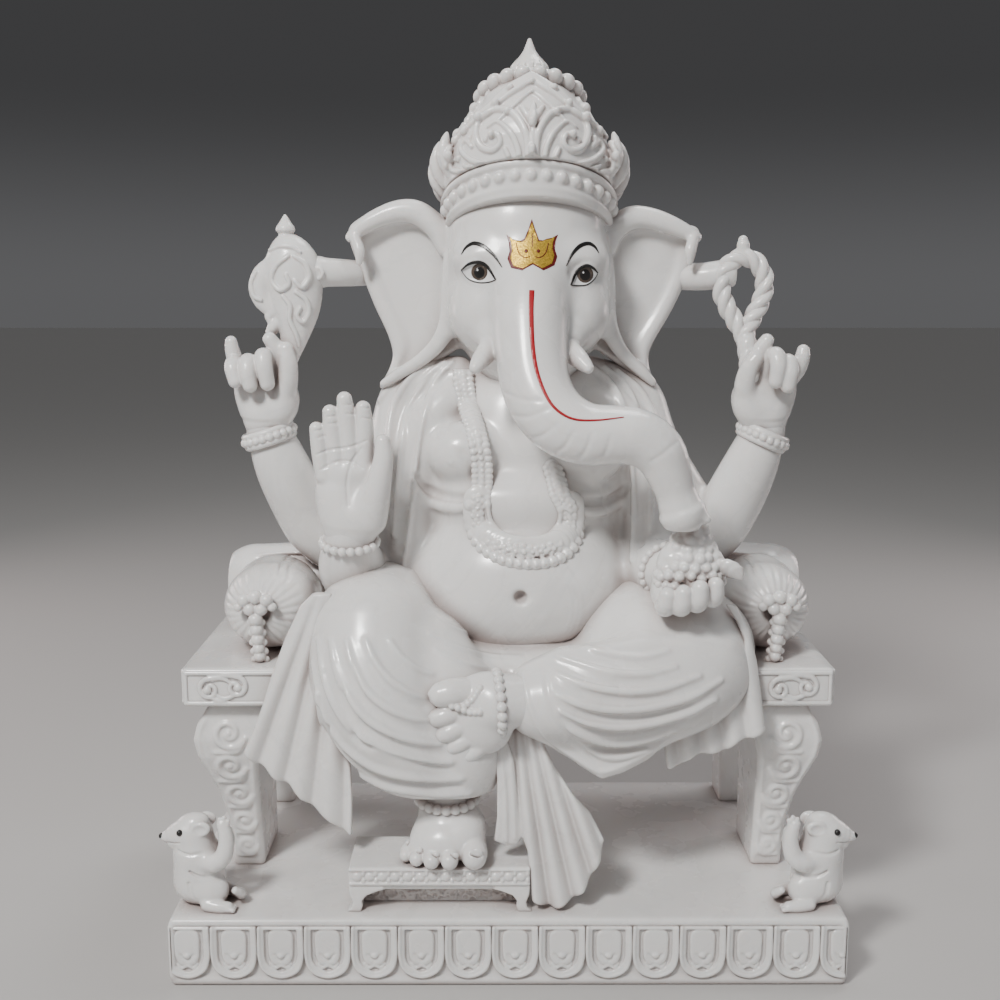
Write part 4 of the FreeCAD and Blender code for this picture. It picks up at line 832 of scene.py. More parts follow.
def build_seat():
    c = Clay((-209, -66, 164), (209, 110, 191), 1.15)
    c.box((-207, -64, 165), (207, 108, 190), 1.6)
    finish_clay(c, "throne_seat_slab", "throne_seat", MARBLE, 0.02, soft=1)
    # carved frieze: raised borders and a run of scrolls, on the front and both ends
    for name, a0, a1, P in (
        ("seat_frieze_front", -207, 207, lambda a, b, r: (a, -64.0, b, r)),
        ("seat_frieze_right", -62, 106, lambda a, b, r: (-207.0, a, b, r)),
        ("seat_frieze_left", -62, 106, lambda a, b, r: (207.0, a, b, r)),
    ):
        lo = A([P(a0, 165, 1)[:3], P(a1, 190, 1)[:3]])
        pad = A([4, 4, 0.5])
        c = Clay(lo.min(0) - pad, lo.max(0) + pad, 0.62)
        for z in (167.6, 187.4):
            c.tube([P(a0 + 2.5, z, 1.5), P(a1 - 2.5, z, 1.5)], 0.3, smooth=False)
        n = int(round((a1 - a0) / 25.8))
        for i in range(n):
            x = a0 + (a1 - a0) * (i + 0.5) / n
            scroll(c, P, x - 4.5 * (1 if i % 2 else -1), 177.5 + (1 if i % 2 else -1) * 0.8, 7.9, i % 2 == 1, r=1.9)
        for a in (a0 + 2.5, a1 - 2.5):
            c.tube([P(a, 167.6, 1.25), P(a, 187.4, 1.25)], 0.3, smooth=False)
        finish_clay(c, name, None, MARBLE, soft=0)


def build_leg(name, node, sgn, rear):
    """Bow-fronted leg with a flat inner face and stacked curls on its front."""
    y0, y1 = (66, 110) if rear else (-64, 22)
    c = Clay((min(sgn * 146, sgn * 209), y0, 43.5), (max(sgn * 146, sgn * 209), y1, 166), 0.9)
    X, Y, Z = c.ax[0][:, None, None] * sgn, c.ax[1][None, :, None], c.ax[2][None, None, :]
    z = [44, 60, 80, 100, 115, 128, 140, 150, 158, 165]
    if rear:
        xo = [184, 187, 191, 195, 199, 202, 203, 200, 195, 192]
        f = [70, 70, 70, 70, 70, 69.5, 69, 69, 69.5, 70]
        b = [103, 103.5, 104, 104.5, 105, 105.5, 106, 106, 105.5, 105]
        xi = [161, 161, 161, 160.5, 160, 159.5, 159, 157, 153, 150]
    else:
        xo = [184.5, 184.5, 186, 190.5, 196, 201.5, 203.5, 201, 196, 192]
        f = [-35, -37, -41, -46, -51, -55.5, -57.5, -57, -56.5, -56.5]
        b = [19] * 10
        xi = [164, 164, 164, 163.5, 163, 162, 160, 156, 152, 150]
    I = lambda v: np.interp(c.ax[2], z, v).astype(F32)[None, None, :]
    cx, hx = (I(xo) + I(xi)) / 2, (I(xo) - I(xi)) / 2
    cy, hy = (I(b) + I(f)) / 2, (I(b) - I(f)) / 2
    r = 3.0
    qx, qy = np.abs(X - cx) - hx + r, np.abs(Y - cy) - hy + r
    d = np.hypot(np.maximum(qx, 0), np.maximum(qy, 0)) + np.minimum(np.maximum(qx, qy), 0) - r
    d = np.maximum(d, np.abs(Z - 104.5) - 60.5)
    c.put((slice(None),) * 3, d.astype(F32))

    def P(a, b_, r_):
        yy = float(np.interp(b_, z, f)) if not rear else float(np.interp(b_, z, b))
        return (sgn * a, yy, b_, r_)
    m = lambda h: (float(np.interp(h, z, xo)) + float(np.interp(h, z, xi))) / 2
    if not rear:
        # border line and four curls
        c.tube([P(float(np.interp(h, z, xi)) + 3.5, h, 1.1) for h in range(52, 158, 6)], 0.6)
        c.tube([P(float(np.interp(h, z, xo)) - 3.5, h, 1.1) for h in range(52, 158, 6)], 0.6)
        for h, q in ((60, 6.2), (79, 7.4), (100, 8.6), (122, 10), (145, 10.6)):
            spiral = []
            for i in range(24):
                t = i / 23.0
                a = math.pi * (1.2 + 2.7 * t)
                s = q * (1 - 0.78 * t)
                spiral.append(P(m(h) + s * math.cos(a), h + s * math.sin(a), 2.3 - 0.8 * t))
            c.tube(spiral, 0.5, smooth=False)
            c.egg(P(m(h), h, 1)[:3], 2.5, 0.4)
            c.tube([P(m(h) - q, h - q * 0.3, 1.8), P(m(h) - q * 0.5, h - q * 1.15, 2.0), P(m(h) + q * 0.9, h - q * 1.25, 1.4)], 0.5)
        # outer side panel line
        for yy in (-24, 0):
            pts = [(sgn * (float(np.interp(h, z, xo))), yy + (h - 100) * -0.12, h, 1.3) for h in range(56, 156, 6)]
            c.tube(pts, 0.8)
    finish_clay(c, name, node, MARBLE, 0.01)


def build_stool():
    c = Clay((-101, -102, 43.5), (15, -53, 75), 0.62)
    c.box((-99.5, -100, 61.2), (13.5, -54, 73.4), 1.0)
    c.box((-98, -98.6, 58.4), (12, -54, 62), 0.8, 0.8)
    c.box((-95.5, -86, 44), (9.5, -54, 61), 0.6, 0.5)
    for x, s in ((-99.5, 1), (13.5, -1)):
        for y in (-95, -60):
            out = [(x - s * 1.5, 43.9), (x + s * 7.5, 43.9), (x + s * 8.6, 47.5), (x + s * 8.2, 51), (x + s * 11, 54.5), (x + s * 17, 57), (x + s * 22, 58.5), (x + s * 22, 61), (x, 61), (x + s * 0.5, 55), (x + s * 2.5, 50), (x + s * 1.5, 46.5)]
            c.plate(out, y, 4.6, 0.8, rnd=0.8)
    # leafy frieze on the front edge of the top
    n = 14
    for i in range(n):
        x = -94 + 102.0 * i / (n - 1)
        c.egg((x, -100.2, 67.3), (2.9, 1.1, 2.6), 0.5)
        c.egg((x + 3.9, -100.2, 65.0), (1.2, 0.9, 1.6), 0.4)
        c.egg((x + 3.9, -100.2, 69.6), (1.2, 0.9, 1.6), 0.4)
    for z in (62.8, 72.0):
        c.tube([(-98.6, -100.1, z, 0.9), (12.6, -100.1, z, 0.9)], 0.4, smooth=False)
    # rough tooled ground behind the feet
    rng = np.random.default_rng(4)
    for _ in range(260):
        c.egg((rng.uniform(-90, 4), -86.0, rng.uniform(45, 58)), rng.uniform(0.7, 1.5), 0.5, "cut")
    finish_clay(c, "footstool_carved", "footstool", MARBLE, 0.01, soft=0)


# ================================================================== cushions
def build_cushions():
    # back bolster: long, seamed along its edge
    c = Clay((-197, 18, 189.5), (206, 84, 252), 1.25)
    c.tube([(-180, 51, 220, 27), (-100, 51, 220, 30), (0, 52, 219, 29), (110, 51, 220, 30), (188, 51, 220, 27.5)], 0)
    c.egg((-181, 50, 219), (13, 27, 26), 4)
    c.egg((189, 50, 219), (13, 27, 26), 4)
    c.tube([(-191, 40, 236, 1.7), (-170, 34, 243.5, 1.7), (-130, 31, 246, 1.7), (-90, 30, 247, 1.7)], 1.2)
    c.tube([(199, 40, 234, 1.7), (178, 34, 242.5, 1.7), (138, 31, 246, 1.7), (98, 30, 247, 1.7)], 1.2)
    c.half((0, 0, 190), (0, 0, -1))
    finish_clay(c, "back_bolster_carved", "back_bolster", MARBLE, 0.01)
    for name, node, cx, sgn, tas in (("side_cushion_right_carved", "side_cushion_right", -158, -1, "cushion_tassel_right"), ("side_cushion_left_carved", "side_cushion_left", 170, 1, "cushion_tassel_left")):
        c = Clay((cx - 36, -52, 189.5), (cx + 36, 30, 252), 0.85)
        c.egg((cx, -12, 219.5), (31, 34, 28.5), 0)
        c.egg((cx, 8, 219.5), (31, 28, 29), 6)
        c.egg((cx + sgn * 3, -44, 222), (7.5, 5, 7), 3, "cut")
        # gathers that fan out from the knot over the end of the cushion
        kx, kz = cx + sgn * 4, 222
        for i in range(26):
            a = 2 * math.pi * i / 26 + 0.1
            path = []
            for q in (7, 12, 18, 24, 28.5):
                x, z = kx + q * math.cos(a), kz + q * math.sin(a) * 0.92
                e = 1 - ((x - cx) / 31.0) ** 2 - ((z - 219.5) / 28.5) ** 2
                y = -12 - 34 * math.sqrt(max(e, 0.02))
                path.append((x, y + 0.3, z, 0.30 + 0.60 * math.sin(min(1, q / 26.0) * math.pi * 0.9)))
            c.tube(path, 1.1, "cut")
        for i in range(5):
            x = cx + sgn * (-20 + i * 6)
            c.tube([(x, -30, 219 + 24 - abs(i - 2) * 1.5, 0.5), (x + sgn * 1, -10, 219 + 27.5 - abs(i - 2), 0.9), (x, 14, 219 + 27 - abs(i - 2), 0.6)], 1.4, "cut")
        c.half((0, 0, 190.1), (0, 0, -1))
        finish_clay(c, name, node, MARBLE, 0.0)
        # knot of two rosettes and the tassel that hangs from it
        t = Clay((kx - 20, -60, 189.8), (kx + 20, -38, 240), 0.5)
        for dx, z, r in ((-7.2, 231, 4.3), (7.2, 231, 4.3), (-3.6, 225.2, 4.2), (3.8, 225.0, 4.2), (0, 233, 4.6), (-10.8, 226.5, 3.0), (10.8, 226.5, 3.0)):
            t.egg((kx + dx, -48.6, z), (r, r, r), 0.5)
        for j, (z, r) in enumerate(((218.4, 4.6), (211.6, 4.2), (205.2, 4.2), (199.2, 4.0), (193.8, 3.9))):
            t.egg((kx + sgn * -0.5 * j, -48.8, z), (r, r, r * .92), 0.5)
            t.egg((kx + sgn * -0.5 * j - 3.6, -46.8, z - 2.4), 2.4, 0.4)
            t.egg((kx + sgn * -0.5 * j + 3.6, -46.8, z - 2.4), 2.4, 0.4)
        t.tube([(kx, -46.5, 226, 4.0), (kx - sgn * 2, -46.5, 193.5, 3.4)], 0.5, smooth=False)
        finish_clay(t, tas + "_carved", tas, MARBLE, 0.0, soft=0)


# ================================================================== head: skull, ears, trunk, tusks
def build_head():
    c = Clay((-108, -112, 284), (129, 58, 500), 0.85, labels=True)
    HEAD, EAR_R, EAR_L, TRUNK, TUSK_R, TUSK_L = 0, 1, 2, 3, 4, 5
    # ears: broad plates with a rolled upper rim and a hollowed face
    for lab, s, cx, O in (
        (EAR_R, -1, 13, [(-36, 462), (-46.4, 475.7), (-62, 482.8), (-79.7, 481), (-95, 474), (-104.2, 466.1), (-102.1, 452.7), (-95.8, 436.5), (-88.3, 417.1), (-79.3, 397.4), (-76.2, 384.2), (-79.7, 373), (-85.2, 362.3), (-71.5, 365.9), (-51.2, 377), (-30, 392), (-20, 420)]),
        (EAR_L, 1, 13, [(62, 462), (73.5, 475.1), (86.9, 478.4), (100.1, 476), (113.6, 470), (124.9, 466), (124.1, 452.7), (119.9, 438.5), (108.6, 413.8), (97.1, 394.1), (93.3, 383.6), (94.8, 372.9), (98.4, 363.6), (87.8, 368.6), (70.6, 379.6), (56, 392), (46, 420)]),
    ):
        c.cur = lab
        out = spline(O, n=4, closed=True)
        ym = lambda X, Z, s=s: 5.0 + 0.10 * (np.abs(X - 13) - 50) - 0.0022 * (Z - 425) ** 2 * 0.6
        c.plate(out, ym, 6.2, 0, rnd=5.5)
        hollow = [(13 + (x - 13) * 0.86 + s * 3.0, 425 + (z - 425) * 0.80 - 2) for x, z in O]
        c.plate(spline(hollow, n=4, closed=True), lambda X, Z, s=s: ym(X, Z) - 9.5, 6.0, 5.0, "cut", rnd=4)
        # rolled top edge, folded lappet at the tip, and the thick lobe along the cheek
        if s < 0:
            roll = [at(u, v, 0) for u, v in ((446, 243), (436, 222), (418, 208), (400, 206), (380, 212), (362, 222), (351, 232))]
            c.tube([(p[0], -2.5, p[2] - 3.4, r) for p, r in zip(roll, (6, 7.5, 7.8, 7.2, 6.2, 5.2, 3.6))], 2.5)
            c.tube([(-98.5, -5, 460, 3.4), (-95.5, -8.5, 452, 3.6), (-95.8, -8, 444, 2.2)], 1.6)
            c.tube([(-82, -1, 366, 2.6), (-72, -3, 372, 3.8), (-55, -5, 383, 4.5), (-43, -8, 396, 5.5), (-37.5, -9, 412, 6.2), (-36.5, -9, 430, 6), (-36.5, -8, 446, 5)], 2.5)
        else:
            roll = [at(u, v, 0) for u, v in ((607, 243), (614, 225), (630, 213), (648, 213), (668, 219), (686, 227), (696, 232))]
            c.tube([(p[0], -2.5, p[2] - 3.4, r) for p, r in zip(roll, (6, 7.2, 7.6, 7.0, 6.2, 5.0, 3.6))], 2.5)
            c.tube([(119.5, -5, 460, 3.4), (117, -8.5, 452, 3.6), (117, -8, 444, 2.2)], 1.6)
            c.tube([(95.5, -1, 367, 2.6), (88, -3, 374, 3.8), (76, -5, 385, 4.5), (68, -8, 397, 5.5), (63.5, -9, 412, 6.2), (62.5, -9, 430, 6), (62.5, -8, 446, 5)], 2.5)
    # skull
    c.cur = HEAD
    c.egg((13.3, -2, 444), (53, 50, 48), 3)
    c.egg((13.3, -6, 424), (51.5, 46, 52), 10)
    c.egg((13.3, -2, 470), (50, 46, 34), 10)
    c.egg((13.3, 6, 404), (42, 40, 40), 10)
    c.egg((13.3, 8, 386), (33, 34, 26), 12)
    # brow and cheeks
    c.egg((-16, -30, 446), (19, 17, 13), 10)
    c.egg((43, -30, 446), (19, 17, 13), 10)
    c.egg((-17, -28, 412), (19, 21, 22), 12)
    c.egg((44, -28, 412), (19, 21, 22), 12)
    # eye sockets
    for e in ((479.0, 272.5), (584.5, 274.5)):
        p = at(e[0], e[1], -46)
        c.egg((p[0], -50, p[2] + 0.5), (11.5, 5.5, 6.8), 5, "cut")
    c.cur = TRUNK
    tr = [(13.5, -24, 446, 24), (13.3, -38, 430, 24.5), (13.2, -50, 412, 23.6), (13.4, -60, 394, 22), (15.2, -69, 375, 21.2), (20.5, -77, 360, 20.6), (31, -83, 348.5, 19.8), (46, -86, 342, 18.6), (62, -87, 341.5, 17.6), (77, -87.5, 340, 17.0), (89, -88, 332, 15.8), (95.5, -88, 319, 13.6), (99.6, -87.5, 308, 12.0), (103, -87, 299.5, 12.0)]
    c.tube(tr, 9)
    # flared tip with its finger
    c.tube([(100.6, -87, 304, 11.4), (102.6, -87, 299, 12.6), (104, -87, 295.6, 14.6)], 2.0, smooth=False)
    c.tube([(110, -90, 296.5, 5), (115.5, -92, 293, 3.8), (118.4, -93, 291.5, 2.6)], 2.5)
    # short tusks in their sheaths
    c.cur = HEAD
    for pts in (((-8, -34, 404, 11), (-10, -44, 398, 9)), ((37, -34, 404, 11), (39, -44, 398, 9))):
        c.tube(pts, 7)
    for lab, L in ((TUSK_R, ((492, 343, -46, 6.8), (487, 352, -55, 6.6), (480, 361, -63, 5.6), (475, 368, -68, 3.8))), (TUSK_L, ((565, 343, -46, 6.8), (572, 352, -55, 6.6), (581, 361, -63, 5.6), (588, 368, -68, 3.8)))):
        c.cur = lab
        c.tube([tuple(at(u, v, y)) + (r,) for u, v, y, r in L], 1.6)
    c.cur = HEAD
    c.soft(1)
    # eyelids and eyes
    c.trace([(461.5, 270, 0.9), (469, 263.5, 1.3), (478, 261.3, 1.5), (487, 265.5, 1.4), (495, 277.5, 1.0)], 1.0, lift=0.1)
    c.trace([(461.5, 271, 0.7), (468, 280, 0.9), (478, 284, 1.0), (488, 283.5, 0.9), (495, 280, 0.8)], 1.0, lift=0.0)
    c.trace([(571.5, 283, 0.9), (577, 270, 1.3), (586, 264.8, 1.5), (593, 267, 1.3), (598, 272.5, 0.9)], 1.0, lift=0.1)
    c.trace([(571.5, 284, 0.7), (579, 286.8, 0.9), (587, 286, 1.0), (594, 281, 0.9), (598, 273.5, 0.7)], 1.0, lift=0.0)
    for u, v in ((479, 272.8), (584.8, 275.5)):
        p = c.hit(u, v)
        c.egg((p[0], p[1] + 3.6, p[2]), (7.2, 4.6, 5.0), 0.8)
    # faint rings across the trunk's bend and the lines above it
    for uvs in (((503, 392, .5), (520, 399, .7), (540, 401, .5)), ((508, 415, .5), (527, 417, .8), (548, 409, .5)), ((520, 440, .5), (541, 436, .8), (557, 424, .5)), ((543, 458, .5), (562, 449, .8), (574, 432, .5)),
                ((566, 465, .5), (583, 455, .8), (592, 434, .5)), ((592, 466, .4), (605, 455, .7), (611, 436, .4)), ((650, 462, .4), (662, 455, .7), (679, 441, .4))):
        c.trace(uvs, 1.6, "cut", lift=0.2)
    split_clay(c, {HEAD: ("head_carved", "head"), EAR_R: ("ear_right_carved", "ear_right"), EAR_L: ("ear_left_carved", "ear_left"), TRUNK: ("trunk_carved", "trunk"), TUSK_R: ("tusk_right_carved", "tusk_right"), TUSK_L: ("tusk_left_carved", "tusk_left")}, MARBLE)
    # ---- painted marks
    mark = [(531.9, 221.5), (534.6, 230), (538.5, 240.8), (542, 241.2), (546, 239.6), (551, 238.6), (555.8, 235.8), (553.6, 242), (553, 249), (555.2, 256), (552.6, 264), (542.5, 268.8), (532.7, 263.2), (523, 268.8), (512.8, 266.4), (509.4, 258), (511.5, 251), (510.6, 243), (508.5, 235.8), (513, 239.6), (517.3, 240.8), (521.4, 241.6), (525, 239.6), (529, 230)]
    mid = A([532.2, 250.0])
    grown = [tuple(mid + (A(p) - mid) * 1.09) for p in mark]
    decal(c, "mark_outline", grown, MAROON, 0.20)
    decal(c, "mark_gold", [tuple(mid + (A(p) - mid) * 0.97) for p in mark], GOLD, 0.42)
    for u in (526.2, 538.4):
        decal(c, "mark_dot_%d" % u, oval(u, 251, 1.7, 1.9, 14), MAROON, 0.55)
    decal(c, "mark_curve_a", stroke([(516, 243, .45), (519, 253, .5), (524.5, 257.5, .5), (530, 256.5, .35)]), MAROON, 0.55)
    decal(c, "mark_curve_b", stroke([(548.5, 243, .45), (545.5, 253, .5), (540, 257.5, .5), (535, 256.5, .35)]), MAROON, 0.55)
    decal(c, "mark_curve_c", stroke([(532.4, 233, .35), (532.2, 240, .5), (532.4, 247, .35)]), MAROON, 0.55)
    decal(c, "trunk_line", stroke([(531.8, 290, 2.6), (531.2, 310, 2.4), (532.2, 340, 2.2), (535.5, 365, 1.9), (541.5, 385, 1.7), (550, 402, 1.5), (561, 413, 1.3), (576, 419.4, 1.1), (598, 420, 0.9), (624, 417, 0.5)]), RED, 0.3)
    decal(c, "brow_right", stroke([(461, 254.5, .3), (466, 247.2, 1.2), (474, 243.2, 1.9), (484, 246.5, 2.0), (494, 255.5, 1.4), (502, 267.3, .4)]), BLACK, 0.3)
    decal(c, "brow_left", stroke([(566.4, 266, .4), (572, 254.5, 1.4), (580, 246, 2.0), (588.5, 243.4, 1.9), (595, 246.8, 1.2), (599, 253, .3)]), BLACK, 0.3)
    for nm, top, low, iris in (
        ("right", [(460.8, 270.5, .35), (468.5, 264.3, .9), (478, 262.2, 1.2), (487, 266.5, 1.1), (495.5, 279.5, .5)], [(461.5, 271, .25), (468, 278.8, .4), (478, 282.4, .45), (488, 282.3, .4), (495, 280, .3)], (479.3, 272.4)),
        ("left", [(571, 285, .5), (577, 271.5, 1.1), (586, 265.8, 1.2), (593, 268, .9), (598, 273, .35)], [(571.5, 285.2, .3), (579, 285.6, .4), (587, 284.6, .45), (594, 279.6, .4), (598, 273.5, .25)], (585.2, 274.8)),
    ):
        decal(c, "eye_white_" + nm, [(p[0], p[1]) for p in spline(top, step=2)] + [(p[0], p[1]) for p in spline(low, step=2)][::-1][1:-1], WHITE, 0.12)
        decal(c, "iris_" + nm, oval(iris[0], iris[1] - .4, 8.2, 8.4), IRIS, 0.30, cell=2.2)
        decal(c, "pupil_" + nm, oval(iris[0], iris[1] + 0.1, 5.3, 5.6, 24), BLACK, 0.46)
        decal(c, "glint_" + nm, oval(iris[0] - 1.8, iris[1] - 2.2, 0.9, 1.0, 10), WHITE, 0.60)
        decal(c, "lid_" + nm, stroke([(p[0], p[1], p[2] * 1.45) for p in top]), BLACK, 0.62)
        decal(c, "lower_lid_" + nm, stroke([(p[0], p[1], p[2] * 1.3) for p in low]), BLACK, 0.50)


# ================================================================== crown
TILT = 0.36          # the crown sits tipped back: its front stands higher than its back


def build_crown():
    cx, cy = 13.5, -1.5
    Rz = lambda z: float(np.interp(z, [470, 478, 484, 492, 498, 505, 512, 520, 530, 540, 548, 553, 556], [50, 52, 53, 54.5, 54, 51.5, 48.5, 44.5, 38.5, 31.5, 24, 15, 4]))

    def P(a, z, r, out=0.0):
        q = Rz(z) + out
        return (cx + q * math.cos(a), cy + q * math.sin(a) * 0.96, z, r)
    F = -math.pi / 2
    # band: two rolls with beads between, dipping towards the sides
    dip = lambda a: -6.5 * (1 - math.sin(-a)) * 0.5 * 1.3
    c = Clay((-50, -66, 462), (77, 64, 500), 0.62)
    c.lathe((cx, cy), [(40, 468), (52.5, 468), (53.2, 476), (53.8, 486), (53.4, 489.5), (40, 489.5)], 0)
    for z0, r in ((472.6, 2.7), (486.2, 2.4)):
        ring = [P(F + 2 * math.pi * i / 72, z0 + 2.5 * math.cos(2 * math.pi * i / 72) - 2.0, r, 1.6) for i in range(73)]
        c.tube(ring, 0.8, smooth=False)
    nb = 36
    for i in range(nb):
        t = 2 * math.pi * i / nb
        p = P(F + t, 479.4 + 2.5 * math.cos(t) - 2.0, 1, 1.8)
        c.egg(p[:3], 4.0, 0.4)
    finish_clay(c, "crown_band_carved", "crown_band", MARBLE, 0.0)
    # dome with scroll relief and scalloped tiers
    c = Clay((-56, -68, 472), (83, 66, 562), 0.64)
    prof = [(0, 482), (Rz(488), 482)] + [(Rz(z), z) for z in (488, 492, 498, 505, 512, 520, 530, 540, 548, 553, 556)] + [(0, 556.5)]
    c.lathe((cx, cy), prof, 1.0)
    # flared lower leaves
    n = 26
    for i in range(n):
        a = F + 2 * math.pi * (i + 0.5) / n
        side = abs(math.cos(a))
        if abs(math.sin((a - F) / 2)) < 0.47:
            continue
        c.tube([P(a, 488, 3.4, 1.0), P(a, 495, 4.8, 3.0 + 2 * side), P(a, 502, 4.4, 5.0 + 3 * side), P(a, 508, 2.8, 6.4 + 3 * side), P(a, 512, 1.4, 7.0 + 3 * side)], 0.8)
        c.tube([P(a, 492, 0.7, 6.4 + 2 * side), P(a, 500, 0.9, 9.4 + 3 * side), P(a, 507, 0.7, 9.2 + 3 * side)], 0.5, "cut")
    for z, n, r, o in ((519.5, 16, 3.7, 1.2), (532, 14, 3.4, 1.2), (543.5, 12, 3.2, 1.0)):
        for i in range(n):
            a = F + 2 * math.pi * (i + 0.5) / n
            if abs(math.sin((a - F) / 2)) < 0.50:
                continue
            c.egg(P(a, z, 1, o)[:3], r, 0.8)
    # relief: a spindle with leaves at the front, mirrored S-scrolls beside it, repeated round the crown
    for m in range(1, 4):
        a0 = F + m * math.pi / 2
        def G(da, z, r, o=0.6):
            return P(a0 + da, z, r, o)
        c.tube([G(0, 494, 2.0), G(0, 503, 3.2), G(0, 512, 1.8), G(0, 520, 2.6), G(0, 530, 2.2), G(0, 539, 2.8), G(0, 547, 1.8)], 0.8)
        c.egg(G(0, 506, 1)[:3], (3.6, 3.2, 4.6), 0.8)
        c.egg(G(0, 538, 1)[:3], (3.8, 3.0, 4.0), 0.8)
        for s in (-1, 1):
            c.tube([G(0, 497, 2.0), G(s * .12, 493.5, 2.2), G(s * .24, 497, 2.2), G(s * .27, 504, 2.0), G(s * .18, 507.5, 1.9), G(s * .12, 503.5, 1.7), G(s * .17, 500.5, 1.5)], 0.7)
            c.tube([G(s * .06, 508, 1.8), G(s * .15, 514, 2.3), G(s * .29, 515, 2.3), G(s * .40, 508, 2.2), G(s * .42, 500, 2.1), G(s * .34, 496.5, 1.9), G(s * .30, 501, 1.6)], 0.7)
            c.tube([G(s * .05, 514, 1.6), G(s * .14, 521, 2.2), G(s * .30, 523.5, 2.3), G(s * .44, 518, 2.2), G(s * .50, 511, 1.9), G(s * .60, 507.5, 1.8), G(s * .66, 512, 1.6), G(s * .60, 515.5, 1.4)], 0.7)
            c.tube([G(s * .04, 522, 1.6), G(s * .14, 528.5, 2.1), G(s * .30, 532, 2.1), G(s * .44, 527, 1.9), G(s * .42, 521.5, 1.7), G(s * .32, 523, 1.3)], 0.7)
            c.tube([G(s * .03, 530, 1.6), G(s * .16, 536, 2.0), G(s * .36, 540, 1.9), G(s * .50, 535.5, 1.7), G(s * .44, 531.5, 1.4)], 0.7)
            c.tube([G(s * .02, 541, 1.5), G(s * .22, 545.5, 1.9), G(s * .48, 545.5, 1.6), G(s * .5, 541.5, 1.3)], 0.7)
            c.tube([G(s * .66, 494, 1.8), G(s * .56, 498, 2.0), G(s * .52, 503.5, 1.9), G(s * .60, 505, 1.5)], 0.7)
            for da, z, r in ((.20, 512, 1.7), (.36, 519.5, 1.7), (.24, 527.5, 1.6), (.34, 535.5, 1.6), (.5, 500, 1.8), (.7, 503, 1.8), (.10, 499, 1.6), (.55, 525, 1.8)):
                c.egg(G(s * da, z, 1)[:3], r, 0.5)
    # front leaf: a tall pointed panel full of scrolls
    c.tilt = TILT
    flat = lambda u, v, y: (at(u, v, y)[0], at(u, v, y)[2] + TILT * y)
    out = [flat(*q) for q in ((450, 192, -30), (441, 172, -22), (447, 150, -22), (469, 126, -25), (486, 113, -29), (506, 93, -30), (520, 87, -27), (531, 80, -26), (542, 87, -27), (552, 91, -30), (570, 106, -29), (590, 124, -25), (608, 148, -22), (617, 170, -22), (608, 192, -30), (570, 183, -48), (530, 178, -54), (490, 183, -48))]
    zr = [480, 498, 505, 512, 520, 530, 540, 548, 556, 566]
    rr = [55, 55, 53, 50.5, 47.5, 42.5, 37, 32.5, 28, 24]
    c.plate(out, lambda X, Z: cy - np.sqrt(np.maximum(np.interp(Z, zr, rr) ** 2 - (X - cx) ** 2, 36.0)) + 1.0, 2.9, 0.8, rnd=1.6)
    c.soft(1)
    for sd in (0, 1):
        X_ = (lambda u: u) if sd == 0 else (lambda u: 1064 - u)
        for L in (
            [(446, 166, 1.6), (451, 147, 1.9), (471, 125, 2.0), (488, 112, 2.0), (508, 96, 2.0), (522, 87, 1.9), (532, 81, 1.7)],
            [(499, 120, 1.1), (513, 107, 1.3), (524, 97, 1.3), (532, 91, 1.1)],
            [(524, 174, 1.4), (528, 152, 2.0), (525, 131, 2.1), (513, 114, 2.1), (497, 110, 2.1), (482, 118, 2.1), (476, 133, 2.1), (481, 147, 2.0), (492, 151, 1.9), (500, 144, 1.7), (498, 135, 1.6), (491, 134, 1.5)],
            [(514, 174, 1.3), (519, 156, 1.7), (514, 139, 1.7), (506, 128, 1.4), (497, 122, 1.2), (488, 127, 1.1)],
            [(503, 176, 1.2), (509, 161, 1.5), (505, 149, 1.4)],
            [(494, 177, 1.2), (485, 166, 1.7), (470, 160, 1.7), (461, 150, 1.7), (466, 141, 1.5), (472, 147, 1.2)],
            [(470, 182, 1.2), (463, 173, 1.6), (452, 170, 1.6), (451, 161, 1.4), (458, 160, 1.2)],
            [(482, 180, 1.1), (474, 171, 1.4), (464, 166, 1.2)],
            [(521, 107, 1.4), (526, 114, 1.8), (531, 123, 1.5)],
            [(522, 175, 1.1), (528, 163, 1.5), (531, 150, 1.3)],
        ):
            c.trace([(X_(u), v, r) for u, v, r in L], 0.55, "add", lift=0.5)
        for u, v, r in ((448, 156, 3.0), (456, 141, 3.1), (465, 131, 3.0), (478, 117, 3.0), (495, 103, 2.6), (510, 88, 2.5), (491, 134, 2.4), (486, 140, 1.8), (470, 139, 2.2), (459, 159, 2.0)):
            p = c.hit(X_(u), v)
            if p is not None:
                c.egg(p, r, 0.6)
    c.trace([(532, 172, 1.6), (532, 150, 2.0), (533, 128, 1.6)], 0.6, "add", lift=0.6)
    c.trace([(532.5, 123, 2.4), (533, 113, 2.6), (533.5, 103, 1.0)], 0.6, "add", lift=0.6)
    c.half((0, 0, 483.8), (0, 0, -1))
    c.lathe((cx, cy), [(0, 474), (50, 474), (51.6, 482), (52.2, 490), (0, 490)], 0)
    finish_clay(c, "crown_dome_carved", ["crown_dome", "crown_leaves"], MARBLE, 0.0, soft=0)
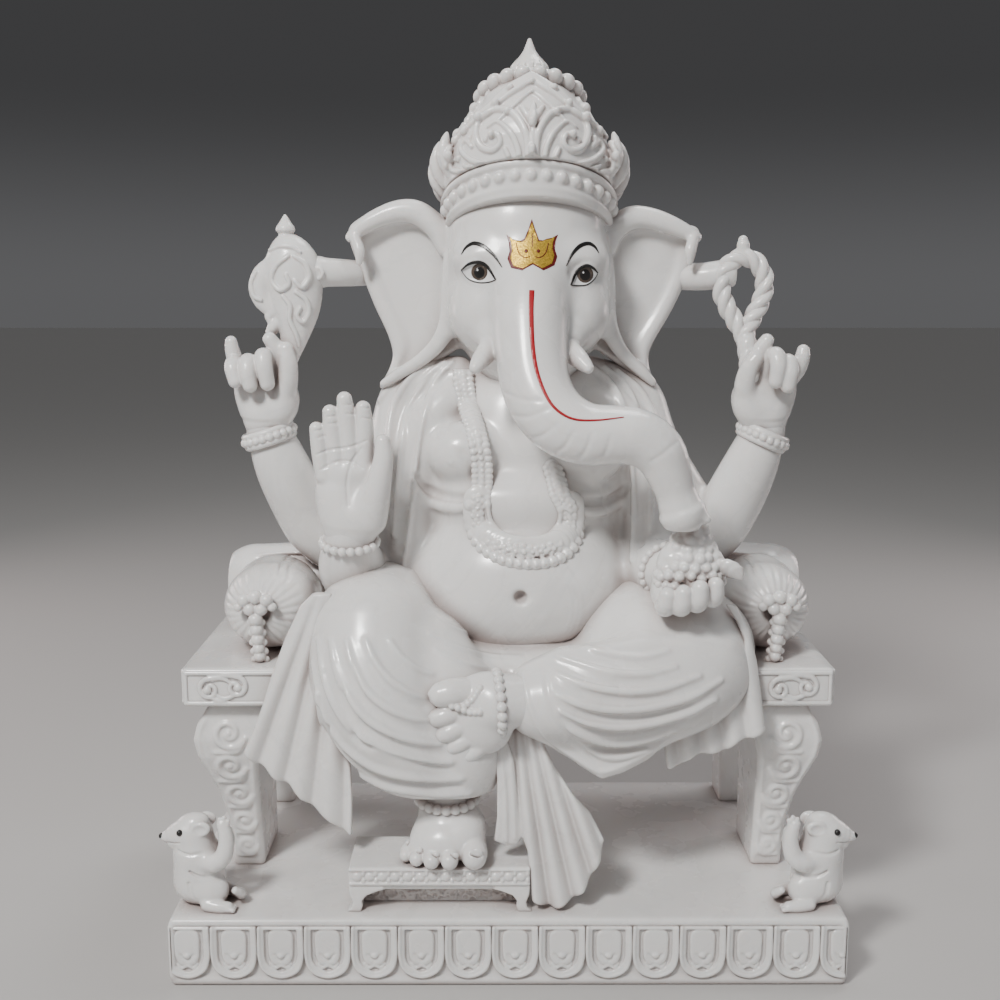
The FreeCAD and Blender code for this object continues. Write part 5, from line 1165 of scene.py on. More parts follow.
    # crest: rear tier of lobes under the finial
    c = Clay((-28, -44, 544), (55, 44, 566), 0.55)
    c.lathe((cx + 0.5, cy + 5), [(0, 546), (28, 546), (31.5, 549), (33, 552.5), (30, 556.5), (20, 559.5), (0, 560.5)], 0.8)
    for i in range(20):
        a = 2 * math.pi * (i + 0.5) / 20
        c.egg((cx + 0.5 + 31.5 * math.cos(a), cy + 5 + 31.5 * math.sin(a), 551.5), (5.2, 5.2, 4.8), 0.6)
        c.egg((cx + 0.5 + 23 * math.cos(a + .15), cy + 5 + 23 * math.sin(a + .15), 557), (3.6, 3.6, 2.8), 0.5)
    finish_clay(c, "crown_crest_carved", "crown_crest", MARBLE, 0.0, soft=0)
    c = Clay((-2, -17, 555), (29, 15, 586), 0.42)
    c.lathe((13.6, 0), [(0, 556), (8.5, 556), (11.0, 557.6), (12.8, 560.6), (12.9, 563.6), (12.0, 566.6), (9.4, 569.6), (6.4, 572.6), (4.0, 576), (2.2, 580.4), (1.2, 583.2), (0, 584)], 0.5)
    for i in range(14):
        a = 2 * math.pi * i / 14
        c.tube([(13.6 + 12.6 * math.cos(a), 12.6 * math.sin(a), 558.5, 0.4), (13.6 + 13.4 * math.cos(a), 13.4 * math.sin(a), 562, 0.6), (13.6 + 10 * math.cos(a), 10 * math.sin(a), 568.5, 0.3)], 0.5, "cut")
    finish_clay(c, "crown_finial_carved", "crown_finial", MARBLE, 0.0, soft=1)
    for ob in PIECES:
        drop = {"crown_band_carved": -0.005, "crown_dome_carved": 0.0, "crown_crest_carved": -0.0045}.get(ob.name)
        if drop is not None:
            ob.data.transform(Matrix(((1, 0, 0, 0), (0, 1, 0, 0), (0, -TILT, 1, drop), (0, 0, 0, 1))))


# ================================================================== torso, shawl and arms to the wrist
def build_torso():
    c = Clay((-184, -80, 188), (196, 82, 384), 1.0, labels=True)
    TORSO, SHAWL, AX_U, AX_F, NO_U, NO_F, BL_U, BL_F, SW_U, SW_F = range(10)
    c.cur = TORSO
    c.egg((7, 0, 237), (78, 58, 54), 0)
    c.egg((7, -8, 230), (72, 55, 42), 8)
    c.egg((7.5, -7, 241), (68, 53, 46), 8)
    c.egg((9, 8, 284), (62, 44, 34), 14)
    c.egg((12, 10, 322), (60, 43, 44), 14)
    c.egg((13, 8, 352), (44, 30, 28), 14)
    c.egg((-28, -20, 323), (25, 22, 21), 5)
    c.egg((51, -20, 323), (25, 22, 21), 5)
    c.egg((9, -14, 292), (58, 32, 22), 10)
    # rear arms
    c.cur = AX_U
    c.tube([(-50, 30, 344, 20), (-70, 32, 328, 21), (-92, 34, 300, 20.5), (-112, 29, 272, 19.5), (-122, 24, 258, 18.5)], 8)
    c.cur = AX_F
    c.tube([(-124, 22, 256, 18.6), (-134, 15, 268, 18.8), (-143, 8, 290, 19.2), (-151, 2, 311, 18.0), (-157, 0, 329, 15.2), (-159.5, 0, 338, 13.8)], 7)
    c.cur = NO_U
    c.tube([(76, 30, 344, 20), (90, 32, 328, 21), (110, 34, 300, 20.5), (128, 29, 272, 20), (136, 24, 260, 19)], 8)
    c.cur = NO_F
    c.tube([(138, 22, 257, 19), (146, 15, 269, 19.4), (155, 8, 291, 19.6), (163, 2, 312, 17.8), (169, 0, 330, 14.8), (171, 0, 338, 13.4)], 7)
    # front arms, mostly under the shawl
    c.cur = BL_U
    c.tube([(-52, 10, 340, 20), (-66, 10, 322, 21), (-80, 6, 288, 20), (-92, 0, 258, 20)], 9)
    c.cur = BL_F
    c.tube([(-95, -4, 246, 20.5), (-99.5, -18, 242, 22.5), (-101.5, -32, 250, 21.5), (-101.6, -42, 263, 18), (-101, -47, 274, 15.2)], 8)
    c.cur = SW_U
    c.tube([(72, 12, 342, 20), (82, 14, 324, 21), (89, 11, 290, 20), (92, 3, 262, 20)], 9)
    c.cur = SW_F
    c.tube([(92, -2, 252, 20), (95, -18, 248, 20), (98.5, -36, 249, 18), (101.5, -50, 250, 15), (103, -56, 250, 14)], 8)
    # shawl: thick cloth over the shoulders, open over the chest and belly
    c.cur = SHAWL
    c.egg((10, 24, 300), (78, 44, 74), 8)
    c.egg((8, 22, 246), (84, 50, 60), 10)
    c.egg((13, 18, 348), (58, 34, 28), 10)
    c.egg((67, 3, 304), (15, 20, 44), 8)
    c.egg((-46, 3, 304), (15, 20, 44), 8)
    for s, X in ((-1, lambda x: x), (1, lambda x: 26 - x)):
        c.tube([(X(-22), 4, 366, 10), (X(-42), -6, 352, 13), (X(-58), -10, 330, 14), (X(-64), -12, 300, 13), (X(-66), -14, 268, 13), (X(-70), -16, 244, 12)], 7)
        e = 0 if s < 0 else -5
        c.tube([(X(-34), 14, 364, 12), (X(-62) + e, 8, 344, 16), (X(-78) + e, 4, 318, 17), (X(-82) + e, 2, 284, 17), (X(-84) + e, 0, 256, 16)], 7)
        e = 0 if s < 0 else -15
        c.tube([(X(-70) + e * .6, 30, 346, 13), (X(-86) + e, 26, 318, 14), (X(-90) + e, 22, 282, 14), (X(-92) + e, 18, 246, 14)], 8)
    for L in ([(455, 372, 6, 12), (428, 380, 8, 14), (403, 397, 12, 15), (392, 432, 12, 15)], [(590, 374, 8, 12), (616, 384, 9, 14), (640, 398, 12, 15), (652, 434, 12, 15)]):
        c.tube([tuple(at(u, v, y)) + (r,) for u, v, y, r in L], 7)
    c.soft(1)
    # folds of the shawl running down from the shoulders
    for line in (
        [(452, 362, 1.4), (436, 382, 1.8), (424, 410, 2.0), (417, 445, 2.0), (412, 490, 2.0), (406, 540, 1.8), (404, 572, 1.4)],
        [(444, 362, 1.2), (424, 380, 1.6), (408, 408, 1.9), (402, 446, 1.9), (398, 490, 1.8), (394, 535, 1.5)],
        [(432, 362, 1.2), (410, 378, 1.6), (394, 404, 1.8), (388, 440, 1.8), (386, 480, 1.6)],
        [(418, 362, 1.2), (396, 378, 1.6), (380, 400, 1.6)],
        [(592, 366, 1.2), (610, 382, 1.7), (622, 404, 1.9), (630, 440, 1.9), (634, 478, 1.9), (634, 520, 1.8), (632, 560, 1.5)],
        [(604, 366, 1.2), (624, 384, 1.6), (638, 410, 1.8), (646, 448, 1.8), (650, 490, 1.8), (650, 530, 1.6)],
        [(618, 370, 1.2), (640, 390, 1.6), (654, 416, 1.7), (661, 450, 1.6)],
    ):
        c.trace([(u_, v_, r_ * 1.25) for u_, v_, r_ in line], 2.0, "add", lift=0.7)
    for line in (
        [(448, 372, 1.2), (430, 390, 1.6), (418, 420, 1.8), (411, 460, 1.8), (406, 505, 1.7), (401, 552, 1.4)],
        [(436, 371, 1.2), (414, 388, 1.6), (400, 418, 1.7), (394, 460, 1.7), (391, 505, 1.4)],
        [(600, 374, 1.2), (617, 392, 1.6), (629, 420, 1.8), (637, 460, 1.8), (641, 505, 1.7), (641, 545, 1.4)],
        [(614, 376, 1.2), (634, 396, 1.6), (648, 428, 1.7), (655, 470, 1.5)],
    ):
        c.trace([(u_, v_, r_ * 1.3) for u_, v_, r_ in line], 2.0, "cut", lift=0.8)
    for i in range(9):
        a = (i - 4) / 4.0
        pts = []
        for t in (0, .2, .4, .6, .8, 1):
            x, z = 11 + a * (34 + 44 * t), 362 - 150 * t - 12 * (1 - t) * a * a
            p = c.back(x, z)
            if p is not None:
                pts.append(tuple(p) + (1.2 + 2.0 * t,))
        if len(pts) > 2:
            c.tube(pts, 3.0, "cut")
    # creases of the chest and belly, nipples, navel
    for line in (
        [(417, 476, .8), (424, 488, 1.5), (440, 496, 1.8), (458, 499, 1.7), (472, 497, 1.2)],
        [(575, 500, 1.2), (590, 503, 1.7), (606, 502, 1.7), (620, 494, 1.3), (630, 484, .7)],
        [(462, 452, .6), (470, 462, .8), (473, 476, .7)],
    ):
        c.trace([(u_, v_, r_ * 2.1) for u_, v_, r_ in line], 2.4, "cut", lift=0.4)
    for line in (
        [(414, 484, 1.4), (424, 498, 2.6), (440, 506, 3.0), (458, 508, 2.8), (474, 504, 1.6)],
        [(572, 508, 1.8), (588, 512, 2.8), (606, 510, 2.8), (622, 502, 1.6)],
    ):
        c.trace(line, 3.4, "add", lift=-0.4)
    for u, v in ((451, 463), (592, 472)):
        p = c.hit(u, v)
        if p is not None:
            c.egg(p, (1.5, 1.3, 1.5), 1.0)
    p = c.hit(520.5, 598)
    if p is not None:
        c.egg(p + A([0, 0, 0]), (4.4, 8.5, 4.2), 3.4, "cut")
        c.tube([tuple(p + A([2, -0.6, -1])) + (1.0,), tuple(p + A([7, -0.8, -0.4])) + (1.2,), tuple(p + A([9, -0.8, 2.5])) + (.7,)], 2.2, "cut")
    # sacred cord: three fine lines across the belly
    for du in (0, 5, 10):
        c.trace([(556 + du * .5, 560, .45), (567 + du, 585, .5), (572 + du, 610, .5), (566 + du, 632, .4)], 0.7, "add", lift=0.1)
    c.half((0, 0, 190.1), (0, 0, -1))
    split_clay(c, {TORSO: ("torso_carved", "torso"), SHAWL: ("shawl_carved", "shawl"), AX_U: ("axe_upper_arm_carved", "axe_upper_arm"), AX_F: ("axe_forearm_carved", "axe_forearm"),
                   NO_U: ("noose_upper_arm_carved", "noose_upper_arm"), NO_F: ("noose_forearm_carved", "noose_forearm"), BL_U: ("blessing_upper_arm_carved", "blessing_upper_arm"), BL_F: ("blessing_forearm_carved", "blessing_forearm"),
                   SW_U: ("sweets_upper_arm_carved", "sweets_upper_arm"), SW_F: ("sweets_forearm_carved", "sweets_forearm")}, MARBLE)
    # garland of small flowers with a broad carved pendant
    n = Clay((-44, -82, 246), (66, 20, 376), 0.6)
    left = []
    for u, v in ((463, 368), (464, 385), (468, 405), (474, 425), (479, 445), (482, 465), (482, 487), (480, 503)):
        p = c.hit(u, v)
        if p is not None:
            left.append(p)
    right = []
    for u, v in ((553, 468), (556, 480), (560, 495), (567, 508)):
        p = c.hit(u, v)
        if p is not None:
            right.append(p)
    n.cur = 0
    def on(L):
        P_ = [c.hit(u, v) for u, v in L]
        return [p for p in P_ if p is not None]
    mid = on(((478, 500), (478, 515), (482, 530), (493, 542), (508, 549), (524, 551), (541, 550), (556, 545), (566, 534), (570, 518), (570, 505)))
    edge = on(((470, 505), (469, 518), (473, 535), (482, 548), (496, 557), (511, 562), (528, 564), (544, 563), (560, 558), (572, 548), (578, 534), (579, 518)))
    inner = on(((488, 505), (490, 518), (497, 529), (509, 536), (524, 538), (540, 537), (552, 532), (559, 522), (561, 508)))
    for L, r in ((left, 2.1), (right, 2.1)):
        S = spline(L, step=4.4)
        for i, p in enumerate(S):
            for q, e in ((-4.4, 0), (4.4, 0), (0, 2.0)):
                n.egg(p + A([q, -1.6, e]), (2.7, 2.0, 2.4), 0.5)
            n.egg(p + A([0, -2.8, 0]), (1.5, 1.4, 1.5), 0.4)
        n.tube([tuple(p + A([0, 0.5, 0])) + (6.4,) for p in S[::2]], 0.5, flat=(0, 1, 0, 0.42))
    n.tube([tuple(p + A([0, 0.6, 0])) + (9.4,) for p in spline(mid, step=5)], 0.6, flat=(0, 1, 0, 0.36))
    for p in spline(edge, step=6.2):
        n.egg(p + A([0, -0.8, 0]), (4.0, 2.4, 3.8), 0.7)
        n.egg(p + A([0, -2.9, 0]), (1.5, 1.1, 1.5), 0.3)
    n.tube([tuple(p + A([0, -1.2, 0])) + (1.5,) for p in spline(inner, step=3)], 1.8)
    S = spline(mid, step=8.6)
    for i, p in enumerate(S):
        big = 1.25 if abs(i - len(S) // 2) < 1 else 1.0
        for j in range(5):
            a = j * 1.2566 + 0.3 * i
            n.egg(p + A([2.9 * big * math.cos(a), -3.1, 2.9 * big * math.sin(a)]), (1.9 * big, 1.3, 1.9 * big), 0.35)
        n.egg(p + A([0, -3.9, 0]), 1.4 * big, 0.2)
    for p in spline(mid, step=4.3)[1::2]:
        n.tube([tuple(p + A([-2, -2.6, 3])) + (.9,), tuple(p + A([1.2, -3.4, 0])) + (1.2,), tuple(p + A([-1.5, -2.6, -3.4])) + (.9,)], 0.5)
    finish_clay(n, "necklace_carved", "necklace", MARBLE, 0.0, soft=0)


# ================================================================== hands
def fingers(c, rows, k=1.2):
    for f in rows:
        c.tube([tuple(p) for p in f], k, step=2.0)


def nail(c, p, d, w=2.6):
    c.egg(p, (w, 1.0, w * 1.25), 0.3)


def build_hands():
    # blessing hand: raised palm
    c = Clay((-124, -74, 256), (-64, -30, 368), 0.55)
    c.tube([(-101, -46.5, 264, 15.2), (-100, -47.5, 272, 15.4), (-99, -49, 282, 17)], 3, flat=(0, 1, 0, 0.85))
    c.egg((-99.5, -47, 300), (22, 9.5, 25), 5)
    c.egg((-107, -50, 292), (12.5, 10, 20), 6)
    c.egg((-88, -52, 290), (11, 11, 17), 6, rot=[(0.97, 0, -0.22), (0, 1, 0), (0.22, 0, 0.97)])
    c.egg((-99.5, -50, 315), (20, 7.5, 8), 5)
    fingers(c, [
        [(-115.2, -50, 312, 6.0), (-117.0, -50.5, 322, 5.6), (-118.3, -51.5, 333, 5.3), (-119.4, -52.4, 341.5, 4.5)],
        [(-106.9, -50, 317, 6.3), (-108.4, -50.6, 331, 6.0), (-109.8, -51.6, 343, 5.6), (-110.8, -52.6, 352.0, 4.7)],
        [(-98.6, -50, 319, 6.5), (-99.4, -50.6, 334, 6.2), (-100.6, -51.8, 348, 5.8), (-101.6, -53, 360.0, 4.8)],
        [(-90.4, -50, 316, 6.4), (-89.8, -50.4, 330, 6.1), (-89.6, -51.4, 343, 5.7), (-90.2, -52.4, 354.4, 4.7)],
    ], 1.6)
    c.tube([(-86, -53, 284, 9.5), (-83.0, -56, 298, 9.0), (-79.6, -58.5, 312, 7.2), (-77.6, -58.6, 323, 6.2), (-77.8, -57.4, 334, 4.8)], 3)
    c.soft(1)
    for line in ([(316, 455, .5), (330, 450, .8), (350, 447, .8), (366, 441, .5)], [(320, 470, .5), (336, 462, .8), (352, 462, .7), (362, 468, .5)], [(361, 449, .5), (352, 462, .9), (347, 482, .9), (348, 505, .6)],
                 [(317, 438, .4), (325, 436, .5)], [(329, 424, .4), (337, 423, .5)], [(346, 414, .4), (354, 414, .5)], [(362, 418, .4), (370, 419, .5)],
                 [(314.5, 431, .4), (321, 430, .5)], [(327, 417, .4), (335, 416, .5)], [(344, 405, .4), (351, 405, .5)], [(362, 408, .4), (369, 408, .5)]):
        c.trace(line, 1.0, "cut", lift=0.1)
    finish_clay(c, "blessing_hand_carved", "blessing_hand", MARBLE, 0.0, soft=0)

    # hand that holds the axe: closed, thumb and first fingers up
    for side, ox, s, name, node in (("axe", -158, 1, "axe_hand_carved", "axe_hand"), ("noose", 168, -1, "noose_hand_carved", "noose_hand")):
        c = Clay((ox - 36, -36, 326), (ox + 36, 24, 410), 0.52)

        def M(x, y, z, r, s=s, ox=ox):
            return (ox + s * x, y, z, r)
        c.tube([M(-1.5, 0, 330, 13.8), M(-1.6, 0, 338, 14.0), M(-1.6, -1, 346, 16.5)], 3, flat=(0, 1, 0, 0.9))
        c.egg(M(-1.5, -1, 358, 0)[:3], (20.5, 11.5, 17), 6)
        c.egg(M(-4, -3, 366, 0)[:3], (17, 10, 12), 6)
        c.egg(M(10, -7, 352, 0)[:3], (10, 9.5, 14), 6, rot=[(0.94, 0, s * -0.34), (0, 1, 0), (s * 0.34, 0, 0.94)])
        if side == "axe":
            fingers(c, [
                [M(-13, -4, 364, 6.0), M(-17, -8, 374, 5.8), M(-19.2, -13, 380, 5.6), M(-19.5, -18.5, 377, 5.2), M(-17.5, -20, 369, 4.8)],
                [M(-7, -5, 366, 6.2), M(-8.8, -11, 377, 6.0), M(-9.5, -17.5, 381, 5.8), M(-9.2, -22, 375.5, 5.4), M(-7.8, -22, 366.5, 4.9)],
                [M(0.5, -5, 367, 6.3), M(0.8, -11.5, 379, 6.1), M(0.6, -18.5, 384.5, 5.8), M(1.8, -22, 377, 5.4), M(3.2, -21, 367.5, 4.9)],
                [M(8, -4, 366, 6.2), M(10, -8, 378, 5.8), M(8.5, -11.5, 388, 5.4), M(4.2, -13.5, 395.5, 4.6)],
            ], 1.4)
            c.tube([M(11, -8, 356, 7.4), M(14.5, -12, 367, 6.8), M(15.6, -14, 379, 6.2), M(14.4, -13.5, 389, 5.0)], 2.4)
            c.tube([M(-13.6, -4, 366, 5.8), M(-19, -5, 377, 5.4), M(-21.8, -6, 388, 4.8), M(-22.2, -7, 393.5, 4.0)], 1.4)
        else:
            fingers(c, [
                [M(-12, -4, 363, 6.0), M(-17.5, -8, 371, 5.8), M(-20.6, -12, 377, 5.6), M(-22.3, -15, 383.5, 5.0), M(-22.8, -15, 388, 4.2)],
                [M(-7, -5, 366, 6.3), M(-10.5, -11, 376, 6.1), M(-12.6, -17, 380.5, 5.9), M(-13.6, -21, 375, 5.5), M(-12.4, -21.5, 366, 5.0)],
                [M(0.5, -5, 367, 6.3), M(-2.0, -11.5, 379, 6.1), M(-4.4, -18, 385, 5.9), M(-5.6, -22, 379, 5.5), M(-4.4, -22, 369, 5.0)],
                [M(7.5, -4, 365, 6.2), M(8.5, -9, 377, 5.8), M(5.4, -12.5, 387, 5.4), M(0.8, -14, 394.5, 4.6)],
            ], 1.4)
            c.tube([M(11, -8, 355, 7.4), M(13.6, -12, 366, 6.8), M(11.6, -15, 377, 6.0), M(7.8, -16, 383.5, 4.8)], 2.4)
        c.soft(1)
        finish_clay(c, name, node, MARBLE, 0.0, soft=0)

    # hand under the bowl of sweets
    c = Clay((84, -104, 222), (146, -40, 282), 0.52)
    c.tube([(101, -47, 250.5, 14.2), (103.5, -56, 249.5, 14.4), (106, -64, 247.5, 16)], 3, flat=(0, 0, 1, 0.9))
    c.egg((109.5, -74, 243), (20, 16, 10), 6)
    c.egg((97, -72, 240), (8, 14, 9), 5)
    fingers(c, [
        [(96.5, -74, 238, 6.6), (95.5, -84, 236, 6.4), (95.3, -91, 238.5, 6.0), (95.8, -93.5, 245, 5.2)],
        [(104.5, -78, 239, 6.6), (104.3, -88, 237, 6.4), (104.6, -94.5, 240, 6.0), (105, -96, 247, 5.2)],
        [(113.5, -79, 240.5, 6.6), (114, -89, 239.5, 6.4), (114.4, -95, 243, 6.0), (114.8, -96, 250, 5.2)],
        [(122.5, -76, 242, 6.4), (124.0, -85, 241.5, 6.2), (124.6, -90.5, 245, 5.8), (124.8, -91.5, 251, 5.0)],
    ], 1.2)
    c.soft(1)
    finish_clay(c, "sweets_hand_carved", "sweets_hand", MARBLE, 0.0, soft=0)
    # heap of sweets and a leaf
    c = Clay((84, -100, 238), (146, -44, 292), 0.5)
    c.egg((111, -74, 259), (20, 14, 19), 1)
    c.egg((113, -74, 272), (12, 10, 14), 4)
    rng = np.random.default_rng(11)
    for zz, rr, nn in ((249, 20, 19), (254.5, 19.6, 18), (260, 18.2, 17), (265.5, 16, 15), (271, 13.5, 12), (276, 10.6, 10), (281, 7.5, 7)):
        for i in range(nn):
            a = 2 * math.pi * (i + 0.5 * (zz % 2) + rng.uniform(-.15, .15)) / nn
            c.egg((111.5 + (zz - 250) * .05 + rr * math.cos(a), -74 + rr * 0.74 * math.sin(a), zz + rng.uniform(-1.2, 1.2)), rng.uniform(2.7, 3.7), 0.8)
    c.tube([(126, -78, 259, 5.0), (132, -82, 260, 6.4), (137.5, -84, 257.5, 5.6), (141.5, -84, 253.5, 1.4)], 1.0, flat=(0, 0.9, 0.5, 0.36))
    c.tube([(121, -76, 270, 3.2), (126, -78, 268, 4.2), (130, -79, 264, 3.0)], 1.0, flat=(0.5, 0.5, 0.6, 0.45))
    c.soft(1)
    finish_clay(c, "sweets_carved", "sweets", MARBLE, 0.0, soft=0)


def ring(name, node, centre, axis, run, tube, bead, n, ry=1.0, rows=1, up=(0, 0, 1)):
    """A beaded bangle: a band with a row of beads, round an arm whose direction is axis."""
    t = A(axis, float) / np.linalg.norm(axis)
    a = np.cross(t, A(up, float))
    if np.linalg.norm(a) < 0.2:
        a = np.cross(t, A((1.0, 0, 0)))
    a /= np.linalg.norm(a)
    b = np.cross(t, a)
    ctr = A(centre, float)
    e = run + bead + 5
    c = Clay(ctr - e, ctr + e, 0.5)
    pt = lambda ang, off=0.0, out=0.0: ctr + t * off + (a * math.cos(ang) + b * math.sin(ang) * ry) * (run + out)
    for off in ([0] if rows == 1 else [-tube * 1.5, tube * 1.5]):
        c.tube([tuple(pt(2 * math.pi * i / 48, off)) + (tube,) for i in range(49)], 0.4, smooth=False)
    if rows > 1:
        for i in range(49):
            c.tube([tuple(pt(2 * math.pi * i / 48, 0, -1.0)) + (tube * 1.2,), tuple(pt(2 * math.pi * (i + 1) / 48, 0, -1.0)) + (tube * 1.2,)], 0.4, smooth=False)
    for i in range(n):
        c.egg(pt(2 * math.pi * (i + .5) / n, 0, tube * 0.5), bead, 0.3)
    finish_clay(c, name, node, MARBLE, 0.0, soft=0)


def build_bangles():
    ring("axe_bracelet_carved", "axe_bracelet", (-158.5, 0, 331.5), (-0.30, -0.02, 0.95), 17.0, 2.3, 2.9, 22, 0.92, 2)
    ring("noose_bracelet_carved", "noose_bracelet", (169.5, 0, 331), (0.40, -0.02, 0.92), 16.6, 2.3, 2.9, 22, 0.92, 2)
    ring("blessing_bracelet_carved", "blessing_bracelet", (-101, -46.2, 268.5), (0.02, -0.18, 0.98), 16.6, 1.5, 2.9, 20, 0.98, 1)
    ring("sweets_bracelet_carved", "sweets_bracelet", (101, -47, 250.5), (0.25, -0.96, -0.08), 16.0, 1.5, 2.7, 20, 0.95, 1)
    ring("planted_anklet_carved", "planted_anklet", (-38.8, -72, 109.0), (0.0, -0.12, 0.99), 17.8, 1.8, 3.3, 21, 1.0, 1)
    ring("crossed_anklet_carved", "crossed_anklet", (-6.0, -94.8, 178.6), (-0.99, -0.10, -0.06), 17.6, 1.6, 3.2, 20, 1.0, 1, up=(0, 1, 0))


# ================================================================== legs under the draped cloth
def build_legs():
    c = Clay((-142, -128, 88), (184, 60, 272), 1.0, labels=True)
    HANG, THIGH, SHIN = 0, 1, 2
    c.cur = HANG
    c.tube([(-52, 40, 206, 28), (-70, 10, 211, 34), (-82, -24, 213, 39), (-87, -50, 208, 41)], 0)
    c.tube([(-84, -52, 207, 42), (-84, -64, 190, 42), (-76, -72, 170, 41), (-63, -76, 150, 36), (-52, -77, 134, 29), (-46, -76, 122, 24)], 6)
    c.tube([(-50, -58, 200, 26), (-38, -70, 178, 28), (-31, -77, 156, 28), (-29, -79, 138, 26), (-32, -78, 122, 23)], 8)
    c.cur = THIGH
    c.tube([(60, 40, 202, 26), (80, 10, 205, 32), (101, -16, 205, 36), (120, -40, 199, 37)], 8)
    c.egg((90, -24, 204), (44, 44, 35), 12)
    c.egg((24, -32, 187), (56, 42, 16), 9)
    c.egg((-22, -34, 187), (36, 38, 16), 9)
    c.cur = SHIN
    c.tube([(122, -46, 196, 36), (120, -60, 187, 33), (104, -71, 181, 32), (78, -79, 178.5, 31), (52, -84, 177, 29), (30, -87, 177, 26), (20, -88, 177, 23)], 6)
    c.egg((98, -46, 198), (50, 38, 37), 16)
    # cloth hanging below the folded shin to its corner, and the hem round the cuff
    out = [at(u, v, -88)[[0, 2]] for u, v in ((522, 672), (528, 700), (541, 732), (558, 748), (580, 762), (600, 774), (622, 768), (648, 756), (667, 740), (700, 722), (735, 706), (752, 690), (735, 650), (640, 640), (560, 650))]
    c.plate(out, lambda X, Z: -88 + 0.0022 * (X - 55) ** 2 + 0.10 * (Z - 180), 7.0, 9, rnd=4)
    c.soft(1)
    # ridges of cloth: fine and close, sweeping round the leg
    hang = [
        [(318, 640, .8), (322, 668, 1.6), (332, 700, 1.9), (350, 728, 2.0), (376, 748, 2.0), (404, 758, 1.9), (432, 762, 1.6), (452, 762, 1.0)],
        [(312, 662, .8), (318, 690, 1.6), (328, 722, 1.9), (346, 748, 2.0), (374, 768, 2.0), (404, 777, 1.9), (434, 780, 1.6), (462, 779, 1.0)],
        [(316, 694, .8), (322, 722, 1.6), (334, 748, 1.9), (356, 770, 2.0), (384, 786, 2.0), (412, 792, 1.8), (440, 795, 1.5), (470, 794, 1.0)],
        [(330, 640, .8), (336, 668, 1.6), (348, 696, 1.9), (368, 720, 2.0), (394, 735, 1.9), (420, 742, 1.6), (440, 744, 1.0)],
        [(346, 640, .8), (352, 664, 1.5), (366, 690, 1.8), (388, 708, 1.8), (412, 718, 1.4), (428, 720, .9)],
        [(366, 640, .8), (374, 660, 1.4), (390, 680, 1.6), (412, 694, 1.4), (426, 698, .8)],
        [(390, 640, .6), (400, 655, 1.2), (416, 668, 1.3), (432, 674, .8)],
    ]
    for L in hang:
        c.trace([(u, v, r * 1.2) for u, v, r in L], 2.8, "add", lift=0.5)
    for L in (
        [(324, 672, .8), (336, 712, 1.6), (356, 740, 1.8), (384, 756, 1.8), (416, 765, 1.6), (450, 770, 1.0)],
        [(319, 700, .8), (331, 738, 1.6), (352, 762, 1.8), (382, 779, 1.8), (414, 785, 1.6), (460, 787, 1.0)],
        [(334, 664, .8), (346, 706, 1.5), (364, 728, 1.7), (394, 744, 1.7), (424, 752, 1.4), (444, 754, .9)],
        [(350, 668, .8), (362, 698, 1.5), (382, 716, 1.6), (408, 728, 1.4), (430, 732, .9)],
        [(370, 664, .8), (384, 686, 1.3), (404, 702, 1.3), (424, 708, .8)],
    ):
        c.trace([(u, v, r * 1.35) for u, v, r in L], 2.4, "cut", lift=1.0)
    fold = [
        [(556, 694, .9), (580, 705, 1.9), (612, 710, 2.2), (650, 708, 2.1), (690, 698, 1.8), (722, 680, 1.0)],
        [(560, 711, .9), (586, 722, 1.9), (616, 727, 2.2), (650, 724, 2.1), (688, 714, 1.7), (716, 700, .9)],
        [(568, 729, .9), (592, 740, 1.8), (620, 744, 2.1), (650, 739, 1.8), (676, 730, 1.0)],
        [(588, 750, .8), (606, 757, 1.6), (624, 757, 1.7), (646, 751, 1.1)],
        [(556, 673, .9), (590, 687, 1.9), (626, 692, 2.1), (662, 689, 1.8), (700, 676, 1.0)],
        [(556, 655, .7), (582, 664, 1.5), (610, 672, 1.8), (644, 674, 1.6), (676, 667, 1.0)],
        [(586, 646, .6), (612, 654, 1.3), (642, 657, 1.3), (668, 651, .7)],
    ]
    for L in fold:
        c.trace([(u, v, r * 1.2) for u, v, r in L], 2.4, "add", lift=0.6)
    for L in (
        [(556, 703, .8), (582, 714, 1.7), (614, 719, 1.9), (650, 717, 1.7), (692, 706, 1.0)],
        [(562, 720, .8), (588, 731, 1.7), (618, 735, 1.9), (650, 731, 1.6), (684, 721, .9)],
        [(576, 739, .8), (602, 749, 1.6), (636, 748, 1.3), (660, 741, .8)],
        [(556, 684, .8), (592, 696, 1.8), (628, 701, 1.8), (672, 696, 1.0)],
        [(556, 664, .7), (584, 675, 1.6), (616, 682, 1.6), (654, 681, 1.0)],
    ):
        c.trace([(u, v, r * 1.45) for u, v, r in L], 2.0, "cut", lift=1.1)
    c.trace([(545, 668, 1.0), (548, 692, 1.3), (556, 716, 1.4), (570, 738, 1.4), (590, 756, 1.2), (601, 766, .8)], 1.6, "cut", lift=0.5)
    # knee wrinkles and the lap folds by the belly
    for L in ([(440, 622, .8), (470, 634, 1.3), (500, 642, 1.4), (530, 645, 1.2), (560, 640, .8)], [(430, 634, .8), (460, 648, 1.2), (492, 656, 1.3), (520, 657, 1.0)], [(436, 650, .7), (462, 662, 1.1), (486, 668, 1.1)]):
        c.trace(L, 2.4, "add", lift=-0.2)
    # hem line along the cuff
    c.trace([(523, 672, 1.0), (528, 700, 1.2), (541, 731, 1.2), (558, 747, 1.2), (580, 761, 1.2), (600, 772, 1.1), (622, 766, 1.1), (648, 754, 1.1), (666, 740, .8)], 1.2, "add", lift=0.2)
    zh = at(430, 795, -92)[2]
    c.box((-150, -140, 60), (-4, -10, zh), 0.6, 3.0, "cut")
